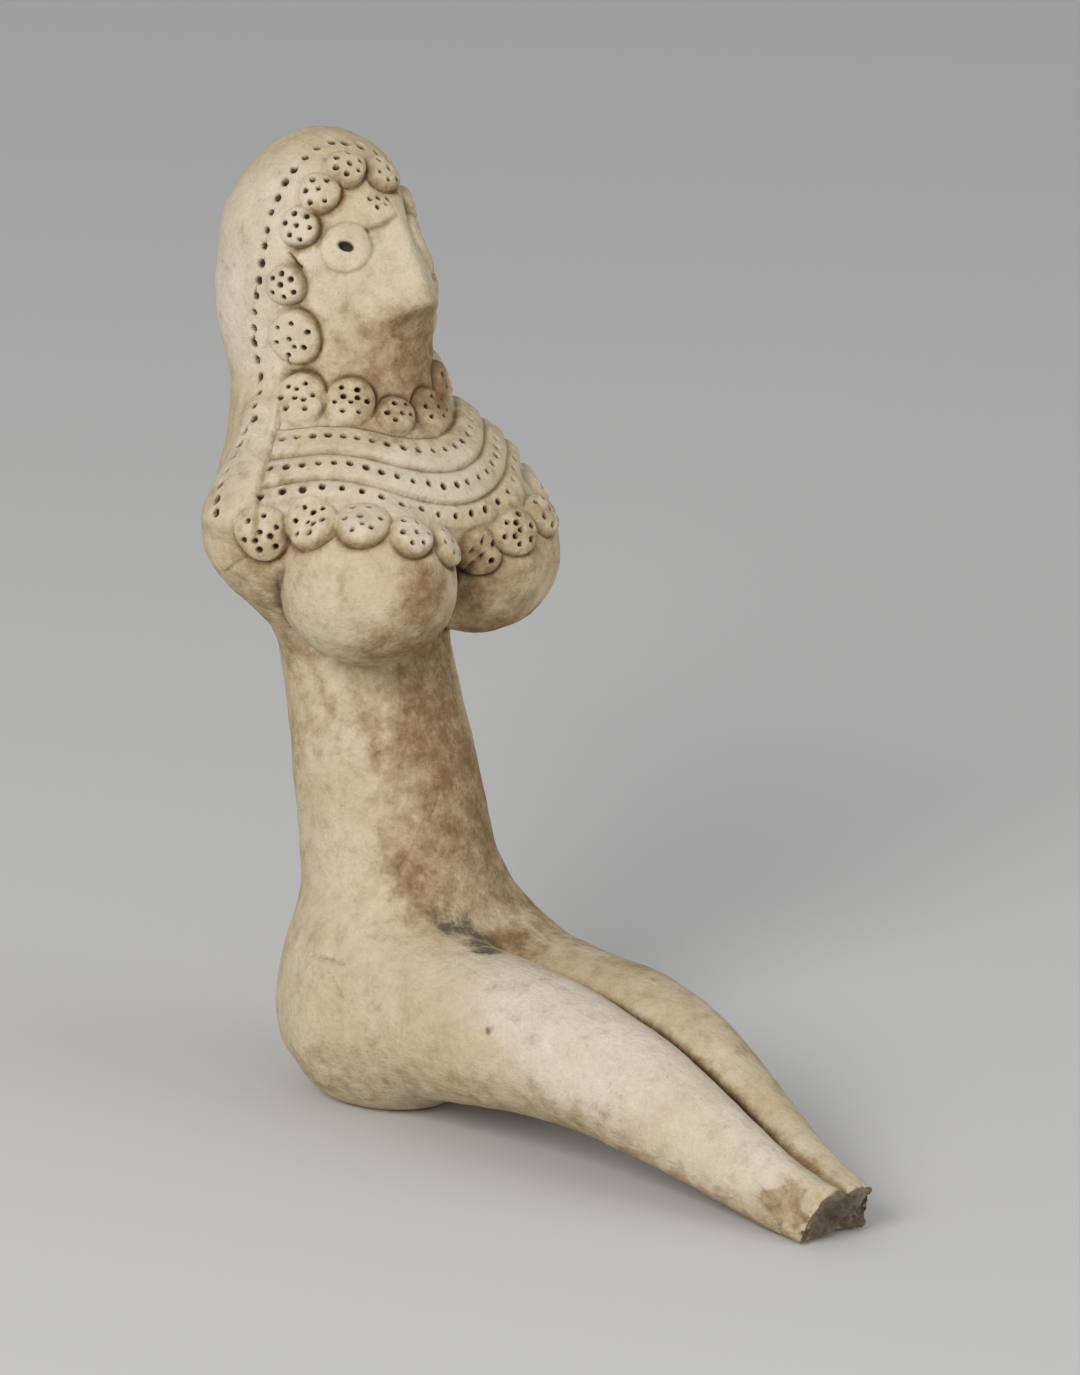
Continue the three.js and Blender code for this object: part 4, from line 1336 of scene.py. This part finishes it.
class FIGURINE_OT_stage(bpy.types.Operator):
    """Lay a pale floor, light it softly and set the camera of the photograph"""

    bl_idname = "figurine.stage"
    bl_label = "Floor, lights and camera"

    def execute(self, context):
        settings = context.scene.figurine_stage
        floor = bpy.data.meshes.new("floor")
        corners = [(FLOOR_REACH * x, FLOOR_REACH * y, 0) for x, y in ((-1, -1), (1, -1), (1, 1), (-1, 1))]
        floor.from_pydata(corners, [], [(0, 1, 2, 3)])
        plane = bpy.data.objects.new("floor", floor)
        floor.materials.append(plain_material("floor_paper", settings.floor, 0.9))
        context.scene.collection.objects.link(plane)

        for name, place, size, colour in LIGHTS:
            area_light(name, place, size, getattr(settings, name + "_power"), colour)
        world = bpy.data.worlds.new("studio")
        world.use_nodes = True
        sky = world.node_tree.nodes["Background"]
        sky.inputs["Color"].default_value = SKY
        sky.inputs["Strength"].default_value = settings.world
        context.scene.world = world
        context.scene.view_settings.view_transform = "Standard"

        right, up, back, place, focal = camera_frame()
        lens = bpy.data.cameras.new("camera")
        lens.sensor_width = SENSOR
        lens.lens = focal * SENSOR / max(PICTURE)
        lens.clip_start = 0.05
        camera = bpy.data.objects.new("camera", lens)
        matrix = np.eye(4)
        matrix[:3, :4] = np.stack([right, up, back, place * MM], -1)
        camera.matrix_world = Matrix(matrix.tolist())
        context.scene.collection.objects.link(camera)
        context.scene.camera = camera
        return {"FINISHED"}


class FIGURINE_PT_panel(bpy.types.Panel):
    """The figurine's operators and settings"""

    bl_idname = "FIGURINE_PT_panel"
    bl_label = "Figurine"
    bl_space_type = "VIEW_3D"
    bl_region_type = "UI"
    bl_category = "Figurine"

    def draw(self, context):
        column = self.layout.column()
        for name in ("rosette_rise", "eye_rise", "tier_rise", "hole_depth"):
            column.prop(context.scene.figurine, name)
        for name in ("clay", "ochre", "pale_and_highlight_colour", "tan", "soil"):
            column.prop(context.scene.figurine, name)
        column.operator(FIGURINE_OT_body.bl_idname)
        for name in ("floor", "key_power", "fill_power", "low_power", "world"):
            column.prop(context.scene.figurine_stage, name)
        column.operator(FIGURINE_OT_stage.bl_idname)


CLASSES = (FigurineSettings, StageSettings, FIGURINE_OT_body, FIGURINE_OT_stage, FIGURINE_PT_panel)


def register():
    for cls in CLASSES:
        bpy.utils.register_class(cls)
    bpy.types.Scene.figurine = PointerProperty(type=FigurineSettings)
    bpy.types.Scene.figurine_stage = PointerProperty(type=StageSettings)


def unregister():
    del bpy.types.Scene.figurine
    del bpy.types.Scene.figurine_stage
    for cls in reversed(CLASSES):
        bpy.utils.unregister_class(cls)


def main():
    register()
    bpy.ops.figurine.body()
    bpy.ops.figurine.stage()


if __name__ == "__main__":
    main()
